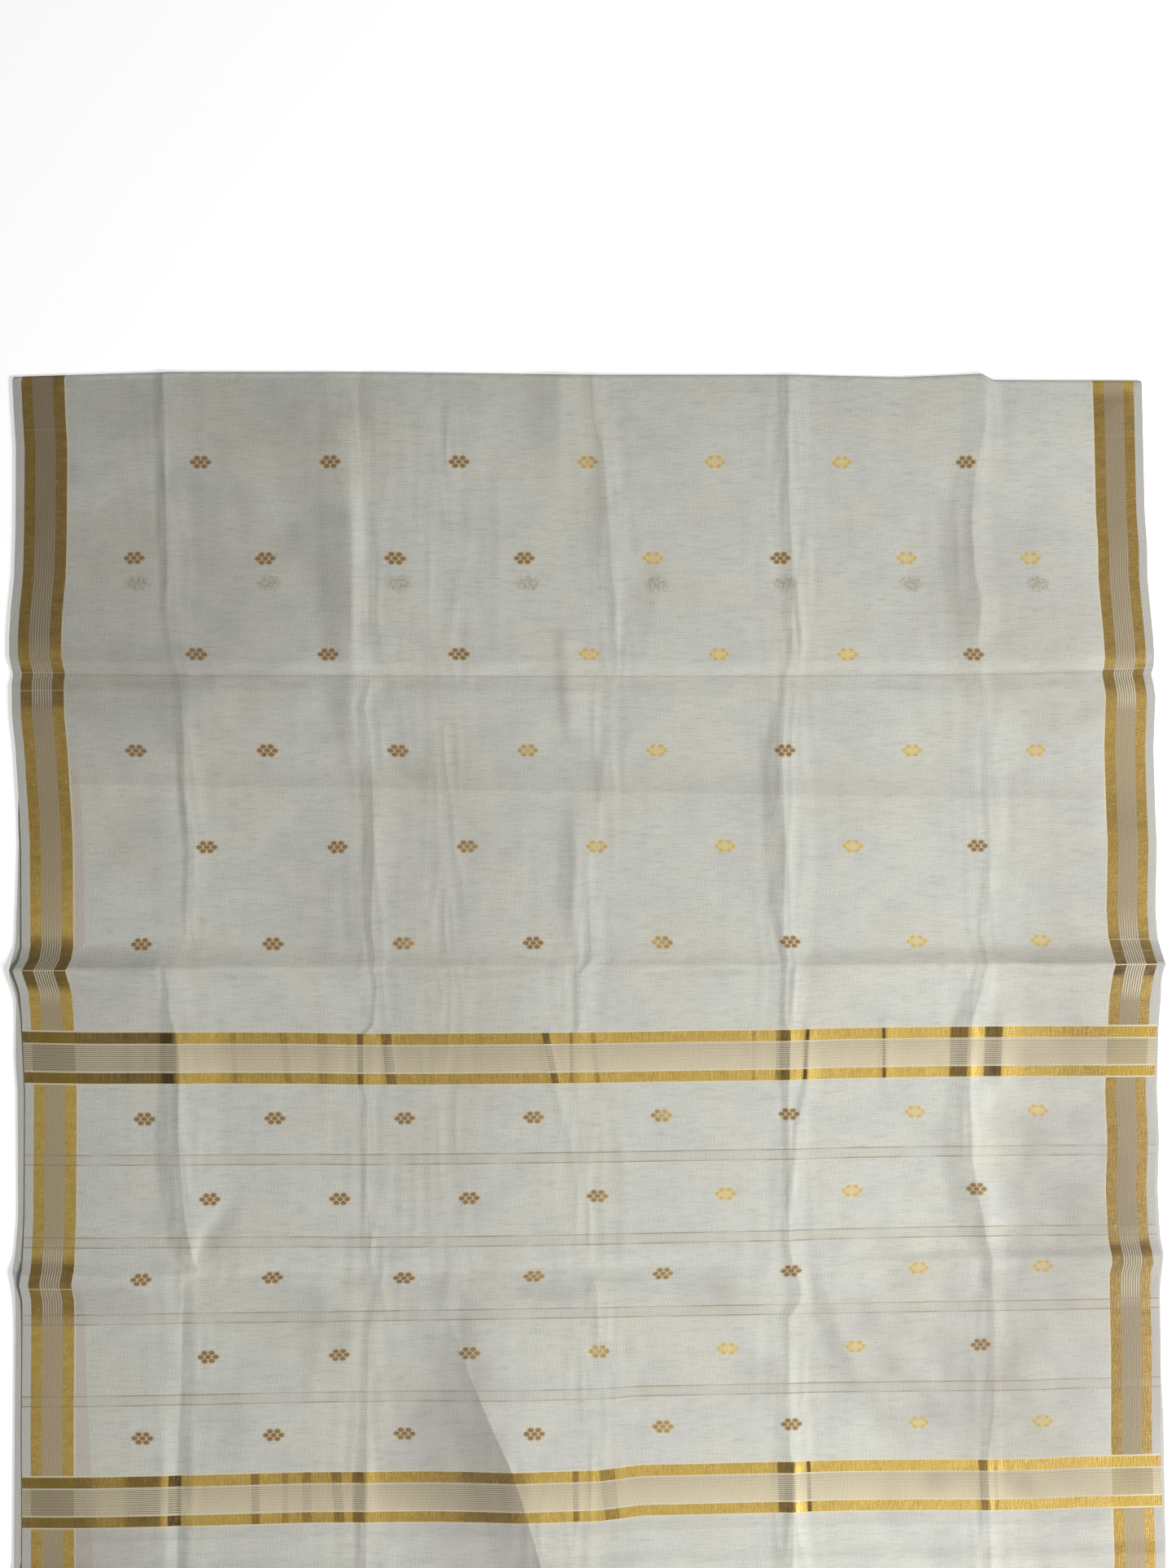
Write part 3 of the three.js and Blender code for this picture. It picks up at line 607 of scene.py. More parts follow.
shares = np.linspace(0, 1, LOWER_ROWS)
lowest = lower_layer(2, shares, TURN_AT + TUCK, END_TURN, LENGTH + TUCK)
third_layer = lower_layer(1, shares, END_TURN, INNER_TURN, 2 * LENGTH)
second_layer = lower_layer(0, shares, INNER_TURN, BACK_END, 3 * LENGTH)
runs = [lowest, bend(lowest, third_layer, -2.5), third_layer, bend(third_layer, second_layer, 2.5),
        second_layer]
lower_x, lower_y, lower_z, lower_u, lower_v = (np.vstack([run[part] for run in runs]) for part in range(5))
lower_stretches = sheet_mesh("lower_stretches", lower_x, lower_y, lower_z,
                             (lower_u, lower_v, np.zeros_like(lower_u)))

# %% [markdown]
# ## Writing shaders as sums
#
# A woven pattern is mostly arithmetic: how far is this point from the selvedge, which repeat is it in? The
# class below lets such questions be written as ordinary Python sums. Each sum adds the Math nodes that work
# it out.

# %% A socket that can be used in sums
class Amount:
    """A number that varies over the cloth."""

    def __init__(self, finish, socket):
        self.finish = finish
        self.socket = socket

    def maths(self, operation, *others):
        return self.finish.node("ShaderNodeMath", {"operation": operation}, [self, *others])

    def flipped(self, operation, other):
        return self.finish.node("ShaderNodeMath", {"operation": operation}, [other, self])

    def __add__(self, other):
        return self.maths("ADD", other)

    def __sub__(self, other):
        return self.maths("SUBTRACT", other)

    def __rsub__(self, other):
        return self.flipped("SUBTRACT", other)

    def __mul__(self, other):
        return self.maths("MULTIPLY", other)

    def __truediv__(self, other):
        return self.maths("DIVIDE", other)

    def __mod__(self, other):
        return self.maths("FLOORED_MODULO", other)

    def __abs__(self):
        return self.maths("ABSOLUTE")

    __radd__ = __add__
    __rmul__ = __mul__


class Finish:
    """A material, with one method for each kind of thing that is often asked of its nodes."""

    def __init__(self, name, **constants):
        self.material = bpy.data.materials.new(name)
        self.material.use_nodes = True
        self.tree = self.material.node_tree
        self.tree.nodes.clear()
        self.shader = self.tree.nodes.new("ShaderNodeBsdfPrincipled")
        output = self.tree.nodes.new("ShaderNodeOutputMaterial")
        self.tree.links.new(self.shader.outputs[0], output.inputs["Surface"])
        for socket, value in constants.items():
            self.shader.inputs[socket.replace("_", " ")].default_value = value

    def node(self, kind, settings=None, values=(), output=0):
        """Adds a node: first its settings, then the values or links of its sockets."""
        made = self.tree.nodes.new(kind)
        for key, value in (settings or {}).items():
            if key == "stops":
                ramp = made.color_ramp
                while len(ramp.elements) < len(value):
                    ramp.elements.new(0.5)
                for element, (place, colour) in zip(ramp.elements, value):
                    element.position = place
                    element.color = colour
            else:
                setattr(made, key, value)
        pairs = values.items() if isinstance(values, dict) else enumerate(values)
        for key, value in pairs:
            self.feed(made.inputs[key], value)
        return Amount(self, made.outputs[output])

    def feed(self, socket, value):
        if isinstance(value, Amount):
            self.tree.links.new(value.socket, socket)
        else:
            socket.default_value = value

    def set(self, **inputs):
        """Feeds the shader's own sockets."""
        for socket, value in inputs.items():
            self.feed(self.shader.inputs[socket.replace("_", " ")], value)

    def weave(self):
        """Across, along and the strength of the painted shade, from the mesh."""
        place = self.node("ShaderNodeAttribute", {"attribute_name": "cloth"}, output=1)
        split = self.node("ShaderNodeSeparateXYZ", values=[place]).socket.node
        return [Amount(self, split.outputs[axis]) for axis in range(3)]

    def noise(self, a, b, detail=2.0, roughness=0.5, layer=0):
        """Smooth noise from 0 to 1, about 0.5, with a swell about every 1 of a and of b."""
        place = self.node("ShaderNodeCombineXYZ", values=[a + layer * 13.7, b - layer * 7.3])
        return self.node("ShaderNodeTexNoise", {"noise_dimensions": "2D"},
                         {"Vector": place, "Scale": 1.0, "Detail": detail, "Roughness": roughness})

    def between(self, value, low, high, soft):
        """1 where value is from low to high, fading over soft on both sides."""
        rise = self.step(value, low, soft)
        return rise * (1 - self.step(value, high, soft))

    def step(self, value, edge, soft):
        """0 below the edge and 1 above it, with a smooth change as wide as soft."""
        return self.node("ShaderNodeMapRange", {"interpolation_type": "SMOOTHSTEP"},
                         {0: value, 1: edge - soft / 2, 2: edge + soft / 2, 3: 0.0, 4: 1.0})

    def scaled(self, value, low, high, to_low, to_high):
        """Value from low..high brought to to_low..to_high."""
        ends = {0: value, 1: low, 2: high, 3: to_low, 4: to_high}
        return self.node("ShaderNodeMapRange", {"clamp": True}, ends)

    def table(self, value, start, end, rows):
        """A number read off a table of (place, number) rows, with straight steps between."""
        stops = [((place - start) / (end - start), (number, number, number, 1)) for place, number in rows]
        ramp = self.node("ShaderNodeValToRGB", {"stops": stops}, [(value - start) / (end - start)])
        return self.node("ShaderNodeSeparateColor", values=[ramp])

    def mix(self, first, second, share):
        """One colour over another."""
        return self.node("ShaderNodeMix", {"data_type": "RGBA", "clamp_factor": True},
                         {0: share, 6: first, 7: second}, output=2)

    def bump(self, height, distance, strength):
        inputs = {"Height": height, "Distance": distance, "Strength": strength}
        return self.node("ShaderNodeBump", values=inputs)


def srgb(red, green, blue):
    """A colour as seen on a screen, 0 to 255, turned into the light it stands for."""
    def light(value):
        value = value / 255
        return value / 12.92 if value <= 0.04045 else ((value + 0.055) / 1.055) ** 2.4
    return (light(red), light(green), light(blue), 1)


# %% [markdown]
# ## The cloth's colours
#
# The ground is ivory silk-cotton, slightly sheer, with thick places in the weft (slubs) and a cloudy look
# where layers show through. The zari is flattened metal thread wound on silk. It has no colour of its own so
# much as a tone: it shines or goes brown with the angle. That shine and shade are painted into its colour,
# read from tables along the borders and across the bands, one number where it shines and another where it
# doesn't; its glints are painted too.

# %% Colours
IVORY = srgb(220, 220, 209)
IVORY_GREY = srgb(212, 213, 206)
IVORY_WARM = srgb(220, 217, 200)
SLUB = srgb(168, 166, 156)
SELVEDGE_LEFT = srgb(214, 213, 204)
SELVEDGE_RIGHT = srgb(190, 188, 181)
PAINTED_SHADE_COLOUR = srgb(116, 106, 97)
ZARI_BRIGHT = srgb(238, 203, 106)
ZARI_MID = srgb(182, 149, 74)
ZARI_DARK = srgb(118, 96, 54)
ZARI_DEEP = srgb(86, 66, 34)
ZARI_GLINT = srgb(255, 236, 160)
ZARI_OLIVE_DARK = srgb(146, 120, 42)
ZARI_OLIVE = srgb(214, 184, 64)
PIN_CREAM = srgb(230, 220, 192)
PIN_TAN = srgb(186, 168, 132)
PIN_TAN_DARK = srgb(132, 116, 90)
PIN_BRIGHT = srgb(222, 206, 172)
PIN_OLIVE = srgb(197, 178, 98)
BUTTA_BROWN = srgb(136, 106, 66)
BUTTA_TAN = srgb(202, 176, 132)
BUTTA_RIM = srgb(206, 176, 112)
BUTTA_PALE = srgb(236, 214, 148)
GHOST_TAN = srgb(180, 165, 143)
SHOW_PINK = srgb(208, 194, 178)
STRIPE_DARK = srgb(150, 140, 116)
STRIPE_PINK = srgb(204, 191, 170)
STRIPE_PALE = srgb(214, 210, 194)

# place along, painted shine of the zari from 0, dark in shade, to 1, bright in the light
LEFT_BORDER_PAINTED_SHINE = [(0, 0.24), (270, 0.24), (284, 0.5), (299, 0.5), (303, 0.2), (338, 0.22), (345, 0.55),
                    (400, 0.55), (440, 0.5), (505, 0.6), (570, 0.85), (582, 0.25), (597, 0.1), (622, 0.1),
                    (632, 0.75), (760, 0.8), (900, 0.7), (908, 0.2), (928, 0.15), (933, 0.5), (938, 0.3),
                    (955, 0.4), (970, 0.75), (1120, 0.72), (1375, 0.7)]
RIGHT_BORDER_PAINTED_SHINE = [(0, 0.7), (12, 0.65), (20, 0.3), (285, 0.31), (292, 0.38), (300, 0.4), (303, 0.26),
                     (324, 0.26), (330, 0.5), (395, 0.48), (425, 0.4), (460, 0.28), (480, 0.36), (530, 0.42),
                     (570, 0.36), (584, 0.14), (604, 0.12), (610, 0), (619, 0), (625, 0.28), (740, 0.33),
                     (800, 0.28), (890, 0.25), (902, 0.1), (925, 0.12), (936, 0.26), (1120, 0.28),
                     (1180, 0.46), (1375, 0.46)]
# place along, how clearly the fine lines of the borders are seen
PINS_SEEN = [(0, 0.08), (150, 0.15), (250, 0.4), (298, 0.4), (304, 0.9), (335, 0.8), (345, 0.15), (540, 0.15),
             (575, 0.6), (609, 1.0), (635, 0.9), (645, 0.15), (880, 0.15), (905, 0.8), (950, 0.85),
             (965, 0.2), (1375, 0.15)]
# place across, painted shine of the upper band
UPPER_BAND_PAINTED_SHINE = [(-585, 0.2), (-560, 0.1), (-505, 0.2), (-480, 0.1), (-449, 0.16), (-446, 0), (-432, 0),
                   (-429, 0.74), (-395, 0.8), (-370, 0.66), (-250, 0.62), (-242, 0.76), (-222, 0.76),
                   (-205, 0.6), (-90, 0.65), (-45, 0.7), (0, 0.84), (20, 0.78), (140, 0.8), (165, 0.88),
                   (260, 0.84), (375, 0.84), (425, 0.76), (470, 0.68), (500, 0.56), (530, 0.5), (585, 0.45)]
LOWER_BAND_PAINTED_SHINE = [(-585, 0.3), (-560, 0.1), (-520, 0.2), (-505, 0.5), (-484, 0.45), (-478, 0.15),
                   (-448, 0.18), (-443, 0.74), (-350, 0.74), (-290, 0.62), (-270, 0.66), (-232, 0.7),
                   (-190, 0.6), (-150, 0.45), (-136, 0.2), (-90, 0.16), (-78, 0.5), (-60, 0.76), (30, 0.8),
                   (150, 0.76), (220, 0.82), (300, 0.84), (450, 0.8), (520, 0.74), (550, 0.55), (585, 0.45)]
# Painted shade: dark marks where narrow folds turn a band from the light: place across, half width, lean,
# how dark
UPPER_BAND_MARKS = [(-372, 2, 0.0, 0.25), (-322, 3, 0.1, 0.3), (-282, 4, 0.0, 0.3), (-243.5, 2.5, 0.0, 0.8),
                    (-217, 4.5, 0.1, 0.7), (-54, 3, 0.2, 0.85), (-27, 1.2, 0.0, 0.5), (-5, 2, 0.1, 0.35),
                    (162, 1.5, 0.0, 0.3), (187, 1.5, 0.0, 0.55), (194.5, 4.5, 0.0, 0.85),
                    (218, 1.4, -0.05, 0.95), (297, 1.2, 0.03, 0.95), (376, 8.5, 0.0, 0.8),
                    (412, 8.5, 0.0, 0.9)]
LOWER_BAND_MARKS = [(-431, 6, -0.02, 0.95), (-350, 3.5, 0.0, 0.6), (-320, 2.5, 0.0, 0.35),
                    (-298, 4, 0.0, 0.45), (-268, 4.5, 0.05, 0.6), (-246, 5.5, 0.0, 0.75),
                    (-24, 2.5, 0.0, 0.6), (8, 7, 0.1, 0.45), (193, 8.5, 0.0, 0.85), (216, 1.6, 0.0, 0.95),
                    (397, 4, 0.05, 0.7), (411, 1.5, 0.0, 0.4)]
# Painted highlights, bright lines where a crest of a fold catches the light across a border: side, place
# along, how bright
PAINTED_GLINT_LINES = [(-1, 56, 0.15), (-1, 324, 0.45), (-1, 609, 0.9), (-1, 931, 0.8), (1, 60, 0.12), (1, 582, 0.4),
               (1, 594, 0.2), (1, 608, 0.9)]
# A painted highlight and a painted shade, thin lines at the sharp upper crease: place along, colour,
# strength; and how far it wanders, as a share, across
PAINTED_CREASE_LINES = [(300.5, PIN_CREAM, 0.3), (303.0, PIN_TAN_DARK, 0.2)]
CREASE_WANDER = 8
UPPER_CREASE_WANDERS = [(-585, 0.6), (-300, 0.8), (0, 0.85), (250, 0.8), (400, 0.6), (480, 0.4), (585, 0)]
print("rows of tone along:", len(LEFT_BORDER_PAINTED_SHINE), "left and", len(RIGHT_BORDER_PAINTED_SHINE), "right")

# %% [markdown]
# ## Ground cloth
#
# Four noises make the ground, painted one over another: grey clouds a hand wide, broader warm ones, short
# streaks that run with the weft, and single thick threads. Two more noises make the threads of weft and warp.
# Those go into a bump, so that the light picks them out.

# %% Ground of ivory silk-cotton
# colour, swell across, swell along, detail, roughness, layer, noise where it starts, noise where it is full,
# share at most
GROUND_NOISES = [
    (IVORY_GREY, 60, 46, 2.0, 0.62, 3, 0.4, 0.66, 0.8),
    (IVORY_WARM, 120, 90, 0.0, 0.5, 11, 0.48, 0.7, 0.5),
    (SLUB, 40, 6, 2.0, 0.65, 14, 0.5, 0.78, 0.18),
    (SLUB, 16, 1.4, 0.0, 0.5, 5, 0.55, 0.78, 0.2),
]
THREAD, THREAD_RUN = 1.1, 9
THREAD_BUMP, THREAD_BUMP_STRENGTH = 0.0002, 0.6


def ground_colour(finish, u, v):
    colour = IVORY
    for over, swell_across, swell_along, detail, roughness, layer, start, full, most in GROUND_NOISES:
        patches = finish.noise(u / swell_across, v / swell_along, detail, roughness, layer)
        colour = finish.mix(colour, over, finish.scaled(patches, start, full, 0.0, most))
    return colour


def thread_height(finish, u, v):
    weft = finish.noise(u / THREAD_RUN, v / THREAD, detail=0.0, layer=21)
    warp = finish.noise(u / THREAD, v / THREAD_RUN, detail=0.0, layer=22)
    return weft + warp


# %% [markdown]
# ## Buttas
#
# A butta is a small motif woven in extra weft. This one has seven dots, two, three and two. Its rows
# alternate, seven across and then eight, each half a repeat over from the last, so the remainder of a
# division places them all.

# %% Buttas
COLUMN_PITCH = 132.5
BODY_ROW_FROM, BODY_ROW_PITCH = 89.5, 98.7
PALLU_ROW_FROM, PALLU_ROW_PITCH = 759.5, 81
BUTTA_LIMIT = 500
# No butta between these places along, nor past the last one
NO_BUTTAS = (650, 735)
BUTTAS_END = 1105
# Beside the fourth and the fifth fold the cloth is tilted, so its buttas look away from the light: from, to
TILTED = [(178, 224), (377, 423)]
TILTED_FADE = 8.0
# From here across, and over this width, they turn from brown to pale; a slow noise moves that to and fro
SHINE_FROM, SHINE_WIDTH, SHINE_WANDER, SHINE_SWELL = -20.0, 330.0, 560, 75
# The columns on the far right stand a little closer together
RIGHT_PULL_FROM, RIGHT_PULL_TO, RIGHT_PULL = 300, 464, 3.5
DOT_PLACES = [(0, 0), (7.6, 0), (3.7, 3.9)]
DOT_FLATTENING = 1.3
DOT_RADIUS = 2.6
GROUND_RADIUS = 4.0
RIM_FROM = 5.0


def butta_masks(finish, u, v, row_from, row_pitch, first_shift, wobble):
    """Masks of the dots, of the whole motif and of its rim."""
    row = (v - row_from) / row_pitch + 0.5
    number = row.maths("FLOOR")
    down = (row % 1.0 - 0.5) * row_pitch + wobble
    shift = ((number + first_shift) % 2.0) * 0.5
    pulled = u + finish.scaled(u, RIGHT_PULL_FROM, RIGHT_PULL_TO, 0.0, RIGHT_PULL)
    side = ((pulled / COLUMN_PITCH + shift + 0.5) % 1.0 - 0.5) * COLUMN_PITCH + wobble
    far_side, far_down = abs(side), abs(down)
    nearest = None
    for dot_across, dot_down in DOT_PLACES:
        step_across = far_side - dot_across
        step_down = (far_down - dot_down) * DOT_FLATTENING
        gap = (step_across * step_across + step_down * step_down).maths("SQRT")
        nearest = gap if nearest is None else nearest.maths("MINIMUM", gap)
    dots = (1 - finish.step(nearest, DOT_RADIUS, 1.0)) * (0.7 + 0.3 * finish.step(nearest, 0.9, 1.2))
    inside = 1 - finish.step(abs(u), BUTTA_LIMIT, 2.0)
    whole = (1 - finish.step(nearest, GROUND_RADIUS, 1.4)) * inside
    rim = finish.step(far_side * 0.6 + far_down, RIM_FROM, 1.5)
    return dots * inside, whole, rim


# %% [markdown]
# ## Borders and bands
#
# Both are zari stripes on either side of a zone of fine cream lines. The border is measured from the selvedge
# and the band from its own upper edge. Where they cross, both sets of threads are there, so the gold goes
# olive.

# %% Zari borders and bands
BORDER_STRIPES = (9.0, 20.0, 41.0, 52.5, 54.3)
# Upper gold, fine lines and lower gold, from and to, and the end of the band
BAND_STRIPES = (1.6, 12.9, 14.1, 41.2, 42.5, 53.3)
BAND_END = 54.8
BORDER_PIN_PITCH = 2.6
BAND_PIN_PITCH = 1.95
EDGE_SOFT = 0.7


def pin_lines(finish, place, pitch, share):
    return finish.between(place / pitch % 1.0, 0.5 - share / 2, 0.5 + share / 2, 0.35)


def zari_grain(finish, u, v):
    """How uneven the metal thread is along the borders and across the bands, and its painted glints."""
    patches = finish.noise(u / 16, v / 8, detail=2.0, roughness=0.65, layer=31) - 0.5
    ribs = finish.noise(u / 1.5, v / 14, detail=0.0, layer=32) - 0.5
    glints = finish.noise(u / 2.2, v / 2.2, detail=0.0, layer=33)
    return patches * 0.35, patches * 0.2 + ribs * 0.3, glints


def zari_colour(finish, tone, uneven, glints):
    """Gold from painted shade to shine, uneven along its threads, with painted glints where it is bright."""
    deep = finish.mix(ZARI_DEEP, ZARI_DARK, finish.scaled(tone, 0.0, 0.12, 0.0, 1.0))
    tone = (tone + uneven).maths("MAXIMUM", 0.0).maths("MINIMUM", 1.0)
    low = finish.mix(deep, ZARI_MID, finish.scaled(tone, 0.0, 0.5, 0.0, 1.0))
    gold = finish.mix(low, ZARI_BRIGHT, finish.scaled(tone, 0.5, 1.0, 0.0, 1.0))
    return finish.mix(gold, ZARI_GLINT, finish.scaled(glints, 0.6, 0.8, 0.0, 0.35) * tone)


# %% [markdown]
# ## The saree's finish
#
# All of it goes into one material, because the real cloth is one piece. It is painted from the ground up: what
# shows through from below, then buttas, borders, painted highlights and shade at the creases, stripes, bands
# and the painted shades.

# %% Material of the saree
def saree_finish(name, on_top):
    finish = Finish(name, Roughness=0.62, Sheen_Weight=0.25, Sheen_Roughness=0.5, Specular_IOR_Level=0.35)
    u, v, painted_shade = finish.weave()
    border_grain, band_grain, glints = zari_grain(finish, u, v)
    colour = ground_colour(finish, u, v)
    from_edge = HALF_WIDTH - abs(u)
    outer, middle_zone, inner, cream, field = BORDER_STRIPES
    in_border = finish.between(from_edge, outer, cream, EDGE_SOFT)

    if on_top:
        colour = show_through(finish, colour, u, v)
        wobble = (finish.noise(u / 30, v / 30, detail=0.0, layer=41) - 0.5) * 1.6
        colour = buttas(finish, colour, u, v, wobble)

    # painted shine and shade of the zari along each border
    left = finish.table(v, 0, LENGTH, LEFT_BORDER_PAINTED_SHINE)
    right = finish.table(v, 0, LENGTH, RIGHT_BORDER_PAINTED_SHINE)
    side = finish.step(u, 0.0, 2.0)
    border_painted_shine = left * (1 - side) + right * side
    gold = zari_colour(finish, border_painted_shine, border_grain, glints)
    in_middle = finish.between(from_edge, middle_zone, inner, EDGE_SOFT)
    pins = pin_lines(finish, from_edge - middle_zone, BORDER_PIN_PITCH, 0.42)
    pin_ground = finish.mix(PIN_TAN_DARK, PIN_TAN, finish.scaled(border_painted_shine, 0.05, 0.7, 0.0, 1.0))
    near_crease = finish.table(v, 0, LENGTH, PINS_SEEN)
    middle_colour = finish.mix(pin_ground, PIN_CREAM, pins * near_crease)
    border_colour = finish.mix(gold, middle_colour, in_middle)
    white_edge = 1 - finish.step(from_edge, outer, EDGE_SOFT)
    cream_line = finish.between(from_edge, cream, field, EDGE_SOFT)
    colour = finish.mix(colour, finish.mix(SELVEDGE_LEFT, SELVEDGE_RIGHT, side), white_edge * 0.85)
    colour = finish.mix(colour, border_colour, in_border)
    colour = finish.mix(colour, PIN_CREAM, cream_line * 0.9)
    zari = in_border * (1 - in_middle * 0.75)

    if on_top:
        # painted highlight and shade at the upper crease, then painted highlights where crests cross the
        # borders
        colour = painted_crease_lines(finish, colour, u, v)
        colour = painted_glint_lines(finish, colour, v, side, in_border + white_edge * 0.5)
        colour = pallu_stripes(finish, colour, u, v, in_border)
        for start, tones, marks in ((UPPER_BAND, UPPER_BAND_PAINTED_SHINE, UPPER_BAND_MARKS),
                                    (LOWER_BAND, LOWER_BAND_PAINTED_SHINE, LOWER_BAND_MARKS)):
            # painted shine of the band, darkened by painted shade marks
            tone = finish.table(u, -HALF_WIDTH, HALF_WIDTH, tones)
            tone = tone * (1 - painted_shade_marks(finish, u, v - start, marks))
            gold = zari_colour(finish, tone, band_grain, glints)
            colour, zari = band(finish, colour, zari, v - start, tone, gold, in_border)
        # painted shade: the cloth darkened where the painted shades lie, less on the zari
        colour = finish.mix(colour, PAINTED_SHADE_COLOUR, painted_shade * (1 - zari * 0.7))

    finish.set(Base_Color=colour)
    finish.set(Metallic=zari * 0.3)
    finish.set(Roughness=finish.scaled(zari, 0.0, 1.0, 0.66, 0.46))
    finish.set(Normal=finish.bump(thread_height(finish, u, v), THREAD_BUMP, THREAD_BUMP_STRENGTH))
    return finish.material


def painted_crease_lines(finish, colour, u, v):
    """A painted highlight and a painted shade: pale and dark hairlines along the bottom of the upper crease.
    """
    for place, line_colour, strength in PAINTED_CREASE_LINES:
        wander = finish.table(u, -HALF_WIDTH, HALF_WIDTH, UPPER_CREASE_WANDERS) * CREASE_WANDER
        line = 1 - finish.step(abs(v - wander - place), 0.7, 1.0)
        colour = finish.mix(colour, line_colour, line * strength)
    return colour


def painted_glint_lines(finish, colour, v, side, where):
    """Painted highlights: bright hairlines where a crest crosses a border."""
    for line_side, place, strength in PAINTED_GLINT_LINES:
        on_side = side if line_side > 0 else 1 - side
        line = finish.between(v, place - 0.5, place + 0.5, 0.8) * on_side
        colour = finish.mix(colour, PIN_CREAM, line * where * strength)
    return colour


# painted shade where narrow folds turn a band from the light
def painted_shade_marks(finish, u, down, marks):
    total = 0.0
    for place, half_width, lean, darkness in marks:
        middle = u - place
        if lean:
            middle = middle - down * lean
        total = finish.scaled(abs(middle), half_width - 0.2, half_width + 1.4, darkness, 0.0) + total
    return total


def band(finish, colour, zari, down, tone, gold, in_border):
    """Paints one woven band over the colour, and adds its metal to the zari mask."""
    gold_from, gold_to, pins_from, pins_to, low_gold_from, low_gold_to = BAND_STRIPES
    olive = finish.mix(ZARI_OLIVE_DARK, ZARI_OLIVE, tone)
    gold = finish.mix(gold, olive, in_border * 0.6)
    in_band = finish.between(down, 0.0, BAND_END, EDGE_SOFT)
    upper_gold = finish.between(down, gold_from, gold_to, EDGE_SOFT)
    in_gold = upper_gold + finish.between(down, low_gold_from, low_gold_to, EDGE_SOFT)
    in_pins = finish.between(down, pins_from, pins_to, EDGE_SOFT)
    pins = pin_lines(finish, down - pins_from, BAND_PIN_PITCH, 0.5)
    pin_ground = finish.mix(PIN_TAN_DARK, PIN_BRIGHT, finish.scaled(tone, 0.0, 0.75, 0.0, 1.0))
    pin_ground = finish.mix(pin_ground, finish.mix(PIN_TAN_DARK, PIN_OLIVE, tone), in_border * 0.8)
    upper_half = finish.scaled(down, pins_from, pins_to, 0.5, 0.05)
    pin_ground = finish.mix(pin_ground, PIN_TAN_DARK, upper_half)
    seen = finish.scaled(tone, 0.0, 1.0, 0.85, 0.75) * (1 - in_border * 0.45)
    band_colour = finish.mix(PIN_CREAM, gold, in_gold)
    band_colour = finish.mix(band_colour, finish.mix(pin_ground, PIN_CREAM, pins * seen), in_pins)
    colour = finish.mix(colour, band_colour, in_band)
    return colour, zari * (1 - in_band) + in_gold


# %% [markdown]
# What shows through: a row of buttas of the layer below, blurred and pink, a pink strip beside the left
# border where a lower border shows, and the edges of lower layers as faint steps across the cloth. The lower
# layer that ends along a slant comes from the painted shade left of the slanting fold.

# %% What shows through the cloth
GHOST_ROW, GHOST_SHIFT = 214, 62.0
GHOST_WIDE, GHOST_HIGH = 190, 74
# place along, slope, how dark
LAYER_STEPS_SEEN = [(428, 0.016, 0.11), (1189, 0.0, 0.08)]
STEP_REACH = 38.0
# along, width of the pink strip beside the left border where a lower border shows through
PINK_STRIP = [(0, 0.0), (405, 0.0), (415, 8.0), (580, 10.0), (590, 0.0), (930, 0.0), (945, 8.0), (1045, 12.0),
              (1120, 16.0), (1375, 18.0)]
PINK_MOST = 20.0


def show_through(finish, colour, u, v):
    blur = (finish.noise(u / 5, v / 5, detail=0.0, layer=51) - 0.5) * 5.0
    column = (u + blur + GHOST_SHIFT + COLUMN_PITCH / 2) / COLUMN_PITCH
    side = (column % 1.0 - 0.5) * COLUMN_PITCH
    down = v + blur - GHOST_ROW
    reach = (side * side / GHOST_WIDE + down * down / GHOST_HIGH).maths("SQRT")
    ghost = (1 - finish.step(reach, 0.85, 0.7)) * (1 - finish.step(abs(u), BUTTA_LIMIT, 2.0))
    grain = finish.noise(u / 3, v / 3, detail=0.0, layer=52)
    colour = finish.mix(colour, GHOST_TAN, ghost * finish.scaled(grain, 0.35, 0.65, 0.25, 0.75))
    shares = [(place, width / PINK_MOST) for place, width in PINK_STRIP]
    strip = finish.table(v, 0, LENGTH, shares) * PINK_MOST
    past_border = u + HALF_WIDTH - BORDER_STRIPES[-1]
    in_strip = (1 - finish.step(past_border - strip, 0.0, 1.5)) * finish.step(strip, 1.0, 2.0)
    colour = finish.mix(colour, SHOW_PINK, in_strip * finish.step(past_border, 0.0, 1.0) * 0.6)
    for place, slope, amount in LAYER_STEPS_SEEN:
        past = v - place - u * slope
        fade = finish.between(past, -STEP_REACH, 0.0, 4.0) * finish.scaled(past, -STEP_REACH, 0.0, 0.0, 1.0)
        colour = finish.mix(colour, SLUB, fade * amount * 2)
    return colour


STRIPES = [801, 884.5, 962.5, 1045.5]
STRIPE_HALF, STRIPE_LINE, STRIPE_PIN_PITCH = 5.6, 1.3, 2.6


def pallu_stripes(finish, colour, u, v, in_border):
    """Groups of thin lines across the pallu: two dark ones with three pink ones between."""
    faint = finish.scaled(finish.noise(u / 40, v / 40, detail=1.0, layer=55), 0.35, 0.65, 0.45, 1.0)
    for place in STRIPES:
        down = v - place
        dark = finish.between(abs(down), STRIPE_HALF - STRIPE_LINE, STRIPE_HALF, 0.8)
        inner = 1 - finish.step(abs(down), STRIPE_HALF - 1.6, 0.8)
        pink = inner * pin_lines(finish, down + STRIPE_PIN_PITCH / 2, STRIPE_PIN_PITCH, 0.45)
        colour = finish.mix(colour, STRIPE_PALE, inner * (1 - in_border) * 0.25)
        colour = finish.mix(colour, STRIPE_PINK, pink * faint * (1 - in_border * 0.7) * 0.5)
        colour = finish.mix(colour, STRIPE_DARK, dark * faint * (1 - in_border * 0.3) * 0.75)
    return colour


